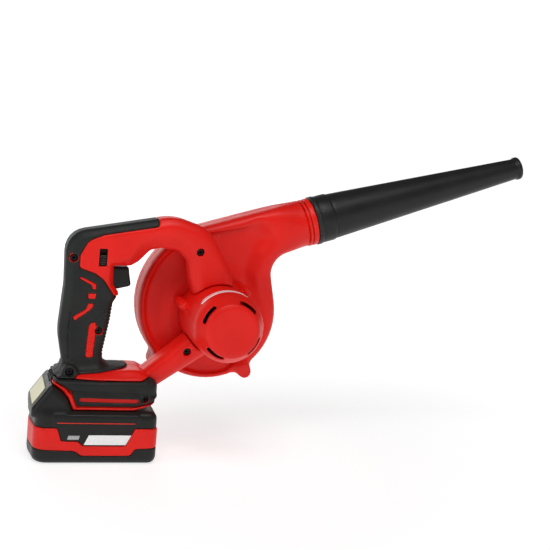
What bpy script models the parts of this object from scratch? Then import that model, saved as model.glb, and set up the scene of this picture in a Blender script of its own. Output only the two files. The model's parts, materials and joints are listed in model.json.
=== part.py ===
"""Cordless leaf blower with a D-shaped handle, a slide-on battery pack and a long tapered nozzle.

Every size below is in millimetres and becomes metres (MM) where a mesh is made. +X points forward,
out of the nozzle, +Y to the blower's left and +Z up. The origin is on the battery's flat base,
under the grip. "Right" pieces lie at -Y and "left" pieces at +Y; the fan casing is on the left.
"""

import math

import bmesh
import bpy
from mathutils import Matrix, Vector

MM = 0.001
GAP = 0.3                      # clearance between pieces that touch
WELD = 1e-6                    # metres
FLAT_ANGLE = math.radians(0.2)
SHARP_ANGLE = math.radians(35)

# Motor and fan axis, parallel to Y
MOTOR_X = 115.0
MOTOR_Z = 140.0
MOTOR_AXIS = (MOTOR_X, 0.0, MOTOR_Z)

# Handle clamshell: grip, top bar, arm and strut
HANDLE_HALF = 17.5             # half thickness
SKIN = 2.0                     # thickness of the rubber over-moulding
SHELL_WALL = 2.2
HANDLE_EDGE = 1.0              # edge chamfer

# Foot that the battery slides onto
FOOT_HALF = 33.2
FOOT_TOP_HALF = 26.0
FOOT_EDGE = 1.5
FOOT_BOTTOM = 52.3
RAIL_NECK_HALF = 22.6
RAIL_FLANGE_HALF = 27.4
RAIL_FLANGE_LOW = 61.0
RAIL_TOP = 66.0
RAIL_FRONT = 36.0
RAIL_CLEAR = 0.4

# Battery
BATTERY_FRONT = 58.0
BATTERY_HALF = 39.0
BATTERY_TOP = 51.8
BATTERY_EDGE = 4.3
CASE_SPLIT = 34.9
BAND_THICK = 2.2
CASE_WALL = 2.3
CELL_RADIUS = 9.3
CELL_PITCH = 18.2
CELL_LENGTH = 65.0
RELEASE_X = (-45.5, -38.5)
RELEASE_Z = (67.0, 80.0)
RELEASE_HALF = 15.0
RELEASE_FLOOR = 52.3           # floor of the button's pocket
RELEASE_WELL = 77.0            # roof of the well inside the button

# Terminals between the foot and the battery
PLUG_HALF = 15.0
PLUG_LOW = 57.0
BLADE_Y = 8.0
BLADE_Z = (58.2, 65.5)
WIRE_RADIUS = 1.3

# Fan casing (volute)
VOLUTE_NEAR = 18.3
VOLUTE_FAR = 66.0
VOLUTE_MID = 42.0
VOLUTE_WALL = 2.4
SCROLL_SMALL = 67.5            # radius where the scroll starts
SCROLL_GROWTH = 20.5           # extra radius where it runs into the duct
SCROLL_END = 107.66            # degrees; here the scroll is tangent to the duct
SCROLL_TURN = 277.0            # degrees of scroll
DISH_DEPTH = 2.5
DISH_RIM = 6.0
SCROLL_STEPS = 22
INTAKE_RADIUS = 32.7
COLLAR_RADIUS = 32.4
COLLAR_END = 71.0
GRILLE_Y = 67.0
VOLUTE_LUGS = ((155.0, 79.0), (62.0, 85.0))
LUG_RADIUS = 6.5
LUG_START = 25.0
LUG_END = 58.0

# Duct and nozzle share one axis, tilted up
TILT = math.radians(17.66)
DUCT_ORIGIN = (221.0, VOLUTE_MID, 239.8)
DUCT_RADIUS = 23.8
SPIGOT_RADIUS = 21.6
SPIGOT_BORE = 19.4
SPIGOT_END = 27.0
NOZZLE_START = -2.6
NOZZLE_END = 241.0
DUCT_SIDES = 28
SEAL_START = 8.0
SEAL_END = 11.0
SEAL_INNER = 20.9

# Motor, its housing and the fan
HOUSING_RADIUS = 35.3
HOUSING_WALL = 2.4
HOUSING_BASE = 20.4
HOUSING_FRONT = -73.5
CHAMFER_START = -57.0
DISC_RADIUS = 25.0
CAN_RADIUS = 19.0
SHAFT_RADIUS = 2.5
FAN_RADIUS = 56.0
BLADES = 9
BLADE_ROOT = 20.0
BLADE_SWEEP = 40.0             # degrees the tip lags behind the root
BLADE_TOP = 55.0
ROTOR_RADIUS = 11.2
BOSS_HOLE = 8.5
VENT_ANGLES = (58.0, 148.0, 238.0, 328.0)
VENT_RADIUS = 27.6
VENT_WIDTH = 2.7
VENT_SWEEP = 17.5              # degrees to each side of the middle
WIRE_ANGLE = 108.0
BOSS_RING = 38.5
BOSS_ANGLES = (49.0, 161.0, 285.0)

RED = "red_plastic"
BLACK = "black_plastic"
RUBBER = "black_rubber"
STEEL = "steel"
BRASS = "brass"
DARK = "dark_steel"
GREEN = "board_green"
COPPER = "copper"
CELL = "cell_sleeve"
RED_WIRE = "red_wire"
BLACK_WIRE = "black_wire"

PALETTE = {
    RED: ((0.62, 0.018, 0.012), 0.38, 0.0),
    BLACK: ((0.02, 0.02, 0.02), 0.42, 0.0),
    RUBBER: ((0.03, 0.032, 0.03), 0.7, 0.0),
    STEEL: ((0.55, 0.56, 0.58), 0.35, 1.0),
    BRASS: ((0.75, 0.55, 0.22), 0.35, 1.0),
    DARK: ((0.03, 0.03, 0.035), 0.4, 1.0),
    GREEN: ((0.02, 0.16, 0.05), 0.5, 0.0),
    COPPER: ((0.6, 0.26, 0.12), 0.4, 1.0),
    CELL: ((0.1, 0.3, 0.5), 0.45, 0.0),
    RED_WIRE: ((0.5, 0.02, 0.02), 0.5, 0.0),
    BLACK_WIRE: ((0.02, 0.02, 0.02), 0.5, 0.0),
}


# ---------------------------------------------------------------- scene and materials

def clear_scene():
    for obj in list(bpy.data.objects):
        bpy.data.objects.remove(obj, do_unlink=True)


def part_collection():
    collection = bpy.data.collections.new("leaf_blower")
    bpy.context.scene.collection.children.link(collection)
    return collection


def make_materials():
    materials = {}
    for name, (colour, roughness, metallic) in PALETTE.items():
        material = bpy.data.materials.new(name)
        material.use_nodes = True
        shader = material.node_tree.nodes["Principled BSDF"]
        shader.inputs["Base Color"].default_value = (*colour, 1.0)
        shader.inputs["Roughness"].default_value = roughness
        shader.inputs["Metallic"].default_value = metallic
        material.diffuse_color = (*colour, 1.0)
        materials[name] = material
    return materials


clear_scene()
PARTS = part_collection()
MATERIALS = make_materials()


# ---------------------------------------------------------------- outlines

def arc(centre_x, centre_z, radius, start, end, steps):
    """Points of an arc, from one angle in degrees to another."""
    points = []
    for step in range(steps + 1):
        angle = math.radians(start + (end - start) * step / steps)
        points.append((centre_x + radius * math.cos(angle), centre_z + radius * math.sin(angle)))
    return points


def rounded(corners, steps=3):
    """Closed outline whose corners (x, z, radius) are rounded to their radii."""
    outline = []
    for index, (x, z, radius) in enumerate(corners):
        corner = Vector((x, z))
        before = Vector(corners[index - 1][:2]) - corner
        after = Vector(corners[(index + 1) % len(corners)][:2]) - corner
        if radius == 0:
            outline.append((x, z))
            continue
        half = before.angle(after) / 2
        reach = min(radius / math.tan(half), 0.48 * before.length, 0.48 * after.length)
        radius = reach * math.tan(half)
        bisector = (before.normalized() + after.normalized()).normalized()
        centre = corner + bisector * radius / math.sin(half)
        first = corner + before.normalized() * reach - centre
        last = corner + after.normalized() * reach - centre
        turn = first.angle_signed(last)
        for step in range(steps + 1):
            spoke = first.copy()
            spoke.rotate(Matrix.Rotation(-turn * step / steps, 2))
            outline.append(tuple(centre + spoke))
    return outline


def grown(corners, distance):
    """Corners (x, z, radius) of the outline with each side moved outward by a distance."""
    if distance == 0:
        return corners
    points = [Vector(corner[:2]) for corner in corners]
    count = len(points)
    area = sum(points[i - 1].x * points[i].y - points[i].x * points[i - 1].y for i in range(count))
    sign = math.copysign(1.0, area)
    moved = []
    for index, point in enumerate(points):
        incoming = (point - points[index - 1]).normalized()
        outgoing = (points[(index + 1) % count] - point).normalized()
        normal_in = Vector((incoming.y, -incoming.x)) * sign
        normal_out = Vector((outgoing.y, -outgoing.x)) * sign
        shift = (normal_in + normal_out) / (1.0 + normal_in.dot(normal_out)) * distance
        bend = math.copysign(1.0, (incoming.x * outgoing.y - incoming.y * outgoing.x) * sign)
        radius = max(corners[index][2] + bend * distance, 0.0) if corners[index][2] else 0.0
        moved.append((*(point + shift), radius))
    return moved


def along_duct(distance, rise=0.0):
    """XZ point at a distance along the duct's axis and a rise square to it."""
    x = DUCT_ORIGIN[0] + distance * math.cos(TILT) - rise * math.sin(TILT)
    z = DUCT_ORIGIN[2] + distance * math.sin(TILT) + rise * math.cos(TILT)
    return (x, z)


def around_motor(radius, angle):
    """XZ point at a radius and an angle, in degrees, around the motor's axis."""
    x = MOTOR_X + radius * math.cos(math.radians(angle))
    z = MOTOR_Z + radius * math.sin(math.radians(angle))
    return (x, z)


# ---------------------------------------------------------------- solids

def link_mesh(name, mesh, matrix=None):
    """A linked object whose mesh is welded, outward-facing and in world space."""
    work = bmesh.new()
    work.from_mesh(mesh)
    if matrix is not None:
        work.transform(matrix)
    bmesh.ops.remove_doubles(work, verts=work.verts, dist=WELD)
    bmesh.ops.recalc_face_normals(work, faces=work.faces)
    work.to_mesh(mesh)
    work.free()
    obj = bpy.data.objects.new(name, mesh)
    PARTS.objects.link(obj)
    return obj


def evaluated_mesh(obj):
    graph = bpy.context.evaluated_depsgraph_get()
    return bpy.data.meshes.new_from_object(obj.evaluated_get(graph))


def to_solid(obj):
    """Replaces a curve, or a mesh with modifiers, by its plain mesh in world space."""
    bpy.context.view_layer.update()
    solid = link_mesh("solid", evaluated_mesh(obj), obj.matrix_world.copy())
    name = obj.name
    bpy.data.objects.remove(obj, do_unlink=True)
    solid.name = name
    return solid


PLANES = {
    "X": Matrix(((0, 0, 1, 0), (1, 0, 0, 0), (0, 1, 0, 0), (0, 0, 0, 1))),
    "Y": Matrix(((1, 0, 0, 0), (0, 0, -1, 0), (0, 1, 0, 0), (0, 0, 0, 1))),
    "Z": Matrix.Identity(4),
}


def prism(name, outline, low, high, axis="Y", edge=0.0, holes=()):
    """A flat outline given thickness along an axis, with its outer edges chamfered."""
    curve = bpy.data.curves.new(name, "CURVE")
    curve.dimensions = "2D"
    curve.fill_mode = "BOTH"
    curve.extrude = ((high - low) / 2 - edge) * MM
    curve.bevel_depth = edge * MM
    curve.bevel_resolution = 0
    curve.offset = -edge * MM
    for loop in (outline, *holes):
        spline = curve.splines.new("POLY")
        spline.points.add(len(loop) - 1)
        for point, (u, v) in zip(spline.points, loop):
            point.co = (u * MM, v * MM, 0, 1)
        spline.use_cyclic_u = True
    obj = bpy.data.objects.new(name, curve)
    PARTS.objects.link(obj)
    middle = (low + high) / 2 * MM
    shift = {"X": (middle, 0, 0), "Y": (0, middle, 0), "Z": (0, 0, middle)}[axis]
    obj.matrix_world = Matrix.Translation(shift) @ PLANES[axis]
    return to_solid(obj)


def box(name, x, y, z):
    """A box from its (low, high) limits along each axis."""
    work = bmesh.new()
    bmesh.ops.create_cube(work, size=1.0)
    size = [(limits[1] - limits[0]) * MM for limits in (x, y, z)]
    middle = [(limits[0] + limits[1]) / 2 * MM for limits in (x, y, z)]
    mesh = bpy.data.meshes.new(name)
    work.to_mesh(mesh)
    work.free()
    return link_mesh(name, mesh, Matrix.Translation(middle) @ Matrix.Diagonal((*size, 1.0)))


def aim(base, direction):
    """Matrix that stands local Z along a direction, with its foot at a point in millimetres."""
    turn = Vector(direction).to_track_quat("Z", "Y").to_matrix().to_4x4()
    return Matrix.Translation(Vector(base) * MM) @ turn


def cylinder(name, base, direction, radius, length, sides=24, top_radius=None):
    """A cylinder, or a cone, from its base along a direction."""
    work = bmesh.new()
    bmesh.ops.create_cone(
        work,
        cap_ends=True,
        segments=sides,
        radius1=radius * MM,
        radius2=(radius if top_radius is None else top_radius) * MM,
        depth=length * MM,
        matrix=Matrix.Translation((0, 0, length / 2 * MM)),
    )
    mesh = bpy.data.meshes.new(name)
    work.to_mesh(mesh)
    work.free()
    return link_mesh(name, mesh, aim(base, direction))


def turned(name, profile, base, direction, sides=32):
    """A closed (radius, height) profile turned around a direction with a Screw modifier."""
    mesh = bpy.data.meshes.new(name)
    points = [(radius * MM, 0.0, height * MM) for radius, height in profile]
    edges = [(index, (index + 1) % len(points)) for index in range(len(points))]
    on_axis = [index for index, (radius, _) in enumerate(profile) if radius == 0]
    if len(on_axis) == 2:
        edges = [edge for edge in edges if set(edge) != set(on_axis)]
    mesh.from_pydata(points, edges, [])
    obj = bpy.data.objects.new(name, mesh)
    PARTS.objects.link(obj)
    screw = obj.modifiers.new("Turn", "SCREW")
    screw.steps = sides
    screw.render_steps = sides
    screw.use_merge_vertices = True
    screw.merge_threshold = 0.00001
    obj.matrix_world = aim(base, direction)
    return to_solid(obj)


def tube(name, points, radius, resolution=2):
    """A round wire along a list of points."""
    curve = bpy.data.curves.new(name, "CURVE")
    curve.dimensions = "3D"
    curve.bevel_depth = radius * MM
    curve.bevel_resolution = resolution
    curve.use_fill_caps = True
    spline = curve.splines.new("POLY")
    spline.points.add(len(points) - 1)
    for point, place in zip(spline.points, points):
        point.co = (*(Vector(place) * MM), 1)
    obj = bpy.data.objects.new(name, curve)
    PARTS.objects.link(obj)
    return to_solid(obj)


def smooth_path(corners, steps=4):
    """Catmull-Rom points through a short list of places."""
    places = [Vector(corner) for corner in corners]
    padded = [2 * places[0] - places[1], *places, 2 * places[-1] - places[-2]]
    points = []
    for index in range(len(places) - 1):
        p0, p1, p2, p3 = padded[index:index + 4]
        for step in range(steps):
            t = step / steps
            points.append(0.5 * (
                2 * p1 + (p2 - p0) * t
                + (2 * p0 - 5 * p1 + 4 * p2 - p3) * t ** 2
                + (3 * p1 - 3 * p2 + p3 - p0) * t ** 3
            ))
    points.append(places[-1])
    return points


def loft(name, rings):
    """A closed solid through rings that have the same number of points."""
    work = bmesh.new()
    loops = [[work.verts.new(Vector(point) * MM) for point in ring] for ring in rings]
    for lower, upper in zip(loops, loops[1:]):
        for index in range(len(lower)):
            after = (index + 1) % len(lower)
            work.faces.new((lower[index], lower[after], upper[after], upper[index]))
    work.faces.new(loops[0])
    work.faces.new(loops[-1])
    mesh = bpy.data.meshes.new(name)
    work.to_mesh(mesh)
    work.free()
    return link_mesh(name, mesh)


def combine(target, other, operation, keep=False):
    """Applies a Boolean of another solid to the target, and removes the other unless kept.

    The exact solver leaves open edges where these chamfered forms cross, and MANIFOLD doesn't.
    """
    modifier = target.modifiers.new("Boolean", "BOOLEAN")
    modifier.operation = operation
    modifier.solver = "MANIFOLD"
    modifier.object = other
    bpy.context.view_layer.update()
    mesh = evaluated_mesh(target)
    target.modifiers.clear()
    old = target.data
    target.data = mesh
    bpy.data.meshes.remove(old)
    if not keep:
        bpy.data.objects.remove(other, do_unlink=True)
    return target


def cut(target, *others):
    for other in others:
        combine(target, other, "DIFFERENCE")
    return target


def join(target, *others):
    for other in others:
        combine(target, other, "UNION")
    return target


def keep_inside(target, other):
    return combine(target, other, "INTERSECT")


def duplicate(obj, name):
    twin = obj.copy()
    twin.data = obj.data.copy()
    twin.name = name
    PARTS.objects.link(twin)
    return twin


def side_of(obj, name, side, middle=0.0):
    """The part of a solid on one side (-1 right, +1 left) of a plane square to Y."""
    near = middle + side * GAP / 2
    limits = sorted((near, near + side * 150.0))
    return keep_inside(duplicate(obj, name), box("side", (-200, 600), limits, (-50, 500)))


def discard(*objects):
    for obj in objects:
        bpy.data.objects.remove(obj, do_unlink=True)


def merge_flat_faces(obj):
    """Joins coplanar triangles, unless that would leave the surface open."""
    work = bmesh.new()
    work.from_mesh(obj.data)
    bmesh.ops.dissolve_limit(work, angle_limit=FLAT_ANGLE, verts=work.verts, edges=work.edges)
    bmesh.ops.triangulate(work, faces=work.faces)
    if all(edge.is_manifold for edge in work.edges):
        work.to_mesh(obj.data)
    work.free()


def finish(obj, name, material, origin=(0.0, 0.0, 0.0)):
    """Names a solid, gives it its material and moves its origin to a point."""
    merge_flat_faces(obj)
    obj.name = name
    obj.data.name = name
    obj.data.materials.clear()
    obj.data.materials.append(MATERIALS[material])
    shift = Vector(origin) * MM
    obj.data.transform(Matrix.Translation(-shift))
    obj.location = shift
    obj.data.shade_smooth()
    obj.data.set_sharp_from_angle(angle=SHARP_ANGLE)
    return obj


# ---------------------------------------------------------------- handle outlines

HANDLE_OUTLINE = [
    (-33.5, 86.0, 0), (-40.8, 121.0, 60), (-35.6, 165.0, 60), (-38.9, 217.2, 22),
    (64.0, 239.0, 45), (98.0, 228.5, 26), (137.0, 165.5, 0), (MOTOR_X, MOTOR_Z, 0),
    (108.0, 106.6, 0), (55.0, 69.6, 0), (48.0, 66.0, 0), (-28.0, 66.0, 0),
]

HANDLE_OPENING = [
    (24.0, 188.6, 3), (31.0, 193.0, 6), (42.0, 205.0, 8), (52.0, 207.6, 14), (70.0, 205.5, 12),
    (80.0, 196.0, 10), (83.6, 176.0, 15), (90.0, 158.0, 0), (98.0, 133.0, 0), (90.0, 127.1, 0),
    (40.0, 89.3, 3), (35.0, 95.5, 3), (24.0, 98.0, 2), (4.0, 97.5, 2), (2.6, 104.0, 4),
    (7.8, 136.0, 50),
]
GUARD_HOOK = [(9.4, 152.0, 8), (14.4, 160.4, 1), (13.4, 163.8, 1), (8.6, 170.0, 5), (8.2, 187.6, 1)]
HOOKLESS = [(8.4, 187.6, 1)]

COVER_AREA = [
    (-70.0, 84.0, 0), (-70.0, 260.0, 0), (50.0, 260.0, 0), (48.0, 228.3, 3), (-3.0, 217.6, 10),
    (-18.0, 211.0, 12), (-25.0, 197.0, 8), (-25.0, 185.0, 4), (-10.0, 180.3, 8),
    (-1.5, 174.5, 4), (9.0, 159.8, 1), (18.0, 157.0, 0), (25.0, 150.0, 0), (25.0, 84.0, 0),
]

FOOT_OUTLINE = [
    (-24.0, FOOT_BOTTOM, 2), (31.5, FOOT_BOTTOM, 10), (49.0, 56.5, 6), (53.5, 63.0, 4),
    (53.5, 79.0, 4), (44.0, 84.5, 4), (-38.0, 84.5, 3), (-44.5, 82.0, 3), (-44.2, 75.5, 2),
    (-35.0, 68.5, 4), (-29.0, 63.0, 3),
]

FOOT_HUMP = [
    (-36.0, 76.0, 0), (46.0, 76.0, 0), (45.0, 85.0, 3), (35.0, 95.5, 5), (24.0, 98.0, 3),
    (-10.0, 89.5, 5), (-36.0, 88.0, 3),
]

BUMPER_AREA = [
    (-47.0, 73.4, 0), (-41.5, 73.0, 1), (-34.3, 70.4, 4), (-28.1, 64.8, 3), (-22.6, 54.6, 1),
    (31.5, 54.6, 10), (49.0, 59.3, 6), (60.0, 64.0, 0), (60.0, 82.4, 0), (-47.0, 82.4, 0),
]

HANDLE_SCREWS = (
    (-30.5, 194.0, HANDLE_HALF), (-2.8, 125.0, HANDLE_HALF), (-28.7, 85.9, FOOT_TOP_HALF),
    (43.9, 62.3, FOOT_HALF), (90.1, 206.0, HANDLE_HALF), (84.4, 107.1, HANDLE_HALF),
)
SCREW_HEAD_RADIUS = 3.4
SCREW_SHANK_RADIUS = 1.5
SCREW_SINK = 4.5               # depth of the head below the face
SCREW_END = 9.5
BOSS_RADIUS = 4.8

SLOT_X = (-7.0, 0.5)
SLOT_Z = (187.5, 204.4)
BAR_Z = (188.2, 198.4)
TRIGGER_HALF = 8.0
SWITCH_FRONT = -9.0


# ---------------------------------------------------------------- handle and foot

def handle_prism(name, inset, edge):
    """The D-shaped handle, with every face moved inward."""
    opening = HANDLE_OPENING + (HOOKLESS if inset else GUARD_HOOK)
    return prism(
        name, rounded(grown(HANDLE_OUTLINE, -inset)), -HANDLE_HALF + inset, HANDLE_HALF - inset,
        edge=edge, holes=(rounded(grown(opening, inset)),),
    )


def foot_prism(name, inset, edge):
    foot = prism(
        name, rounded(grown(FOOT_OUTLINE, -inset)), -FOOT_HALF + inset, FOOT_HALF - inset, edge=edge,
    )
    hump = prism(
        "hump", rounded(grown(FOOT_HUMP, -inset)), -FOOT_TOP_HALF + inset, FOOT_TOP_HALF - inset,
        edge=edge,
    )
    return join(foot, hump)


def flare():
    """The rubber collar around the bottom of the grip: a short elliptical cone."""
    collar = cylinder("flare", (0, 0, 0), (0, 0, 1), 1000, 9.0, sides=28, top_radius=740)
    collar.data.transform(
        Matrix.Translation((-8.5 * MM, 0, 86.6 * MM)) @ Matrix.Rotation(math.radians(-6), 4, "Y")
        @ Matrix.Diagonal((0.0335, 0.0248, 1.0, 1.0))
    )
    return collar


def housing_seat(clearance):
    """The round seat in the arm and strut for the motor housing."""
    return cylinder(
        "seat", (MOTOR_X, -60, MOTOR_Z), (0, 1, 0), HOUSING_RADIUS + clearance, 120, sides=48,
    )


def place_on_ring(angle, y):
    x, z = around_motor(BOSS_RING, angle)
    return (x, y, z)


def build_covers(outer, core):
    """Rubber over-moulding: the outer form inside the cover area, less the hard core."""
    covers = keep_inside(duplicate(outer, "covers"), prism("area", rounded(COVER_AREA), -60, 60))
    join(covers, flare())
    cut(covers, foot_prism("foot", -GAP, FOOT_EDGE))
    return combine(covers, core, "DIFFERENCE", keep=True)


def screw_bosses(clearance):
    bosses = []
    for x, z, face in HANDLE_SCREWS:
        half = face - 2.3 + clearance
        radius = BOSS_RADIUS + clearance
        bosses.append(cylinder("boss", (x, -half, z), (0, 1, 0), radius, 2 * half, sides=16))
    return bosses


def screw_cutters():
    """Clearance for the screws: a sunk seat for each head and a bore for its shank."""
    cutters = []
    for x, z, face in HANDLE_SCREWS:
        cutters.append(cylinder("seat", (x, -face - 5, z), (0, 1, 0), SCREW_HEAD_RADIUS + 0.5,
                                5 + SCREW_SINK + 3.0, sides=20))
        cutters.append(cylinder("bore", (x, -face, z), (0, 1, 0), SCREW_SHANK_RADIUS + GAP,
                                face + SCREW_END + 1.0, sides=12))
    return cutters


def screw_profile(head, thickness, length):
    """Half section of a screw, from (radius, distance) points, with its head at distance 0."""
    return [
        (0, 0), (head, 0), (head, thickness),
        (SCREW_SHANK_RADIUS, thickness), (SCREW_SHANK_RADIUS, length), (0, length),
    ]


def battery_channel():
    """The T-shaped slot under the foot, open to the rear."""
    neck = RAIL_NECK_HALF + RAIL_CLEAR
    flange = RAIL_FLANGE_HALF + RAIL_CLEAR
    lip = RAIL_FLANGE_LOW - RAIL_CLEAR
    top = RAIL_TOP + RAIL_CLEAR
    section = [
        (-neck, 40), (neck, 40), (neck, lip), (flange, lip),
        (flange, top), (-flange, top), (-flange, lip), (-neck, lip),
    ]
    return prism("channel", section, -70, RAIL_FRONT + 2 * RAIL_CLEAR, axis="X")


def trigger_opening():
    return box("trigger_opening", (-4.0, 30.0), (-TRIGGER_HALF - 0.6, TRIGGER_HALF + 0.6),
               (164.2, 187.2))


def latch_groove():
    """The notch in the foot's rear for the battery's release button."""
    return box("groove", (-60, RELEASE_X[1] + 0.6), (-RELEASE_HALF - 0.6, RELEASE_HALF + 0.6),
               (62, RELEASE_Z[1] + 3.0))


def terminal_hole():
    return box("terminal_hole", (-0.5, 30.5), (-PLUG_HALF - 0.4, PLUG_HALF + 0.4), (60.0, 75.0))


def foot_core(inset):
    """The hard core that carries the foot's rubber bumpers."""
    core = foot_prism("core", inset, 0.0)
    sole = box("sole", (-20 + inset, 42 - inset), (-32.4 + inset, 32.4 - inset), (53.3, 57.5 - inset))
    return join(core, sole)


def build_hollow():
    """The room inside the handle and the foot for the trigger, terminals and wires."""
    hollow = handle_prism("hollow", SKIN + SHELL_WALL, 0.0)
    return join(
        hollow,
        box("foot_room", (-26, 34), (-25.1, 25.1), (69.0, 79.4)),
        box("hump_room", (-20, 26), (-21.3, 21.3), (78.6, 86.5)),
    )


def build_shell(outer):
    """Both halves of the red clamshell in one piece, hollow and drilled."""
    shell = duplicate(outer, "shell")
    cut(shell, prism("area", rounded(grown(COVER_AREA, GAP)), -60, 60))
    join(shell, handle_prism("core", SKIN, 0.0))
    foot = foot_prism("foot", 0.0, FOOT_EDGE)
    cut(foot, prism("bumper", rounded(grown(BUMPER_AREA, GAP)), -60, 60))
    join(foot, foot_core(SKIN + 0.6))
    join(shell, foot)
    cut(shell, build_hollow())
    join(shell, *screw_bosses(0.0))
    cut(shell, battery_channel(), trigger_opening(), *screw_cutters())
    cut(shell, box("slot", SLOT_X, (-30, 30), SLOT_Z), housing_seat(GAP), latch_groove(), terminal_hole())
    return shell


def build_bumpers():
    area = prism("area", rounded(BUMPER_AREA), -60, 60)
    bumper = keep_inside(foot_prism("bumper", 0.0, FOOT_EDGE), area)
    return cut(bumper, foot_core(SKIN + 0.6 - GAP), battery_channel(), handle_prism("arm", -GAP, 0.0),
               latch_groove())


def build_handle():
    outer = handle_prism("outer", 0.0, HANDLE_EDGE)
    core = handle_prism("core", SKIN - GAP, 0.0)
    covers = build_covers(outer, core)
    shell = build_shell(outer)
    bumper = build_bumpers()
    cut(covers, *screw_bosses(GAP), *screw_cutters(), trigger_opening())
    cut(bumper, *screw_bosses(GAP), *screw_cutters())
    for side, word in ((-1, "right"), (1, "left")):
        finish(side_of(shell, "half", side), f"handle_shell_{word}", RED)
        finish(side_of(covers, "half", side), f"grip_cover_{word}", RUBBER)
        finish(side_of(bumper, "half", side), f"foot_bumper_{word}", RUBBER)
    discard(outer, core, covers, shell, bumper)
    for number, (x, z, face) in enumerate(HANDLE_SCREWS, start=1):
        head = face - SCREW_SINK
        profile = screw_profile(SCREW_HEAD_RADIUS, 2.6, head + SCREW_END)
        screw = turned("screw", profile, (x, -head, z), (0, 1, 0), sides=14)
        finish(screw, f"handle_screw_{number}", DARK, origin=(x, -head, z))


# ---------------------------------------------------------------- battery

PACK_PLAN = [
    (-58.5, -BATTERY_HALF, 14), (BATTERY_FRONT, -BATTERY_HALF, 9),
    (BATTERY_FRONT, BATTERY_HALF, 9), (-58.5, BATTERY_HALF, 14), (-63.5, 0.0, 60),
]

BAND_SIDE = [
    (-70.0, 14.5, 0), (-21.0, 13.0, 3), (-14.0, 8.3, 4), (32.0, 8.4, 4), (37.0, 15.2, 3),
    (70.0, 16.5, 0), (70.0, CASE_SPLIT, 0), (-70.0, CASE_SPLIT, 0),
]

PANEL_SIDE = [
    (-40.5, 50.0, 0), (-38.8, 39.0, 2), (-33.5, 22.6, 3), (-18.3, 22.6, 3), (-12.7, 18.2, 2),
    (27.2, 18.2, 3), (35.6, 36.0, 3), (37.9, 50.0, 0),
]

PACK_HUMP = [
    (-62.6, 44.0, 0), (-62.6, 52.0, 4), (-46.5, 76.5, 3), (-44.9, 75.1, 0), (-35.3, 67.9, 0),
    (-29.5, 62.5, 0), (-24.7, 52.0, 0), (-24.7, 44.0, 0),
]


def pack_prism(name, inset, low, high, edge=0.0):
    return prism(name, rounded(grown(PACK_PLAN, -inset)), low, high, axis="Z", edge=edge)


def pack_side(name, corners, extra):
    return prism(name, rounded(grown(corners, extra)), -60, 60)


def pack_skin(inset):
    """Everything outside an inset of the pack's plan."""
    return cut(pack_prism("skin", -5.0, -20.0, 60.0), pack_prism("inside", inset, -30.0, 70.0))


def build_upper_case(body):
    top = box("top", (-90, 90), (-60, 60), (CASE_SPLIT + GAP, 90))
    upper = keep_inside(duplicate(body, "upper"), top)
    panel = keep_inside(pack_side("panel", PANEL_SIDE, 0.0), pack_skin(BAND_THICK))
    combine(panel, body, "INTERSECT", keep=True)
    keep_inside(panel, box("below", (-90, 90), (-60, 60), (10, 45)))
    join(
        upper, panel,
        prism("hump", rounded(PACK_HUMP), -36.0, 36.0, edge=1.5),
        box("neck", (-30.0, RAIL_FRONT), (-RAIL_NECK_HALF, RAIL_NECK_HALF), (47.0, 63.0)),
        box("flange", (-29.0, RAIL_FRONT - 0.01), (-RAIL_FLANGE_HALF, RAIL_FLANGE_HALF),
            (RAIL_FLANGE_LOW, RAIL_TOP)),
    )
    cut(
        upper,
        pack_prism("cavity", BAND_THICK + GAP + CASE_WALL, 20.0, 47.0),
        box("plug_bay", (-10.0, 50.0), (-PLUG_HALF - 2.0, PLUG_HALF + 2.0), (PLUG_LOW - 1.0, 80.0)),
        box("contact_pocket", (-24.4, -9.0), (-13.4, 13.4), (PLUG_LOW - 0.6, 80.0)),
        box("button_pocket", (RELEASE_X[0] - 0.4, RELEASE_X[1] + 0.4),
            (-RELEASE_HALF - 0.4, RELEASE_HALF + 0.4), (RELEASE_FLOOR, 90.0)),
    )
    finish(upper, "battery_upper_case", BLACK)


def build_lower_case(body):
    lower = keep_inside(duplicate(body, "lower"), box("bottom", (-90, 90), (-60, 60), (-10, CASE_SPLIT)))
    skin = join(pack_side("band", BAND_SIDE, GAP), pack_side("panel", PANEL_SIDE, GAP))
    keep_inside(skin, pack_skin(BAND_THICK + GAP))
    cut(lower, skin, pack_prism("cavity", BAND_THICK + GAP + CASE_WALL, 2.6, 60.0))
    finish(lower, "battery_lower_case", BLACK)
    band = keep_inside(pack_side("band", BAND_SIDE, 0.0), pack_skin(BAND_THICK))
    combine(band, body, "INTERSECT", keep=True)
    cut(band, pack_side("panel", PANEL_SIDE, GAP))
    finish(band, "battery_band", RED)


def build_cells():
    cells = []
    for row in range(2):
        for column in range(5):
            x = (column - 2) * CELL_PITCH - 2.0
            z = 13.0 + row * CELL_PITCH
            cells.append(cylinder("cell", (x, -CELL_LENGTH / 2, z), (0, 1, 0), CELL_RADIUS,
                                  CELL_LENGTH, sides=16))
    finish(join(cells[0], *cells[1:]), "battery_cells", CELL)


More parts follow.
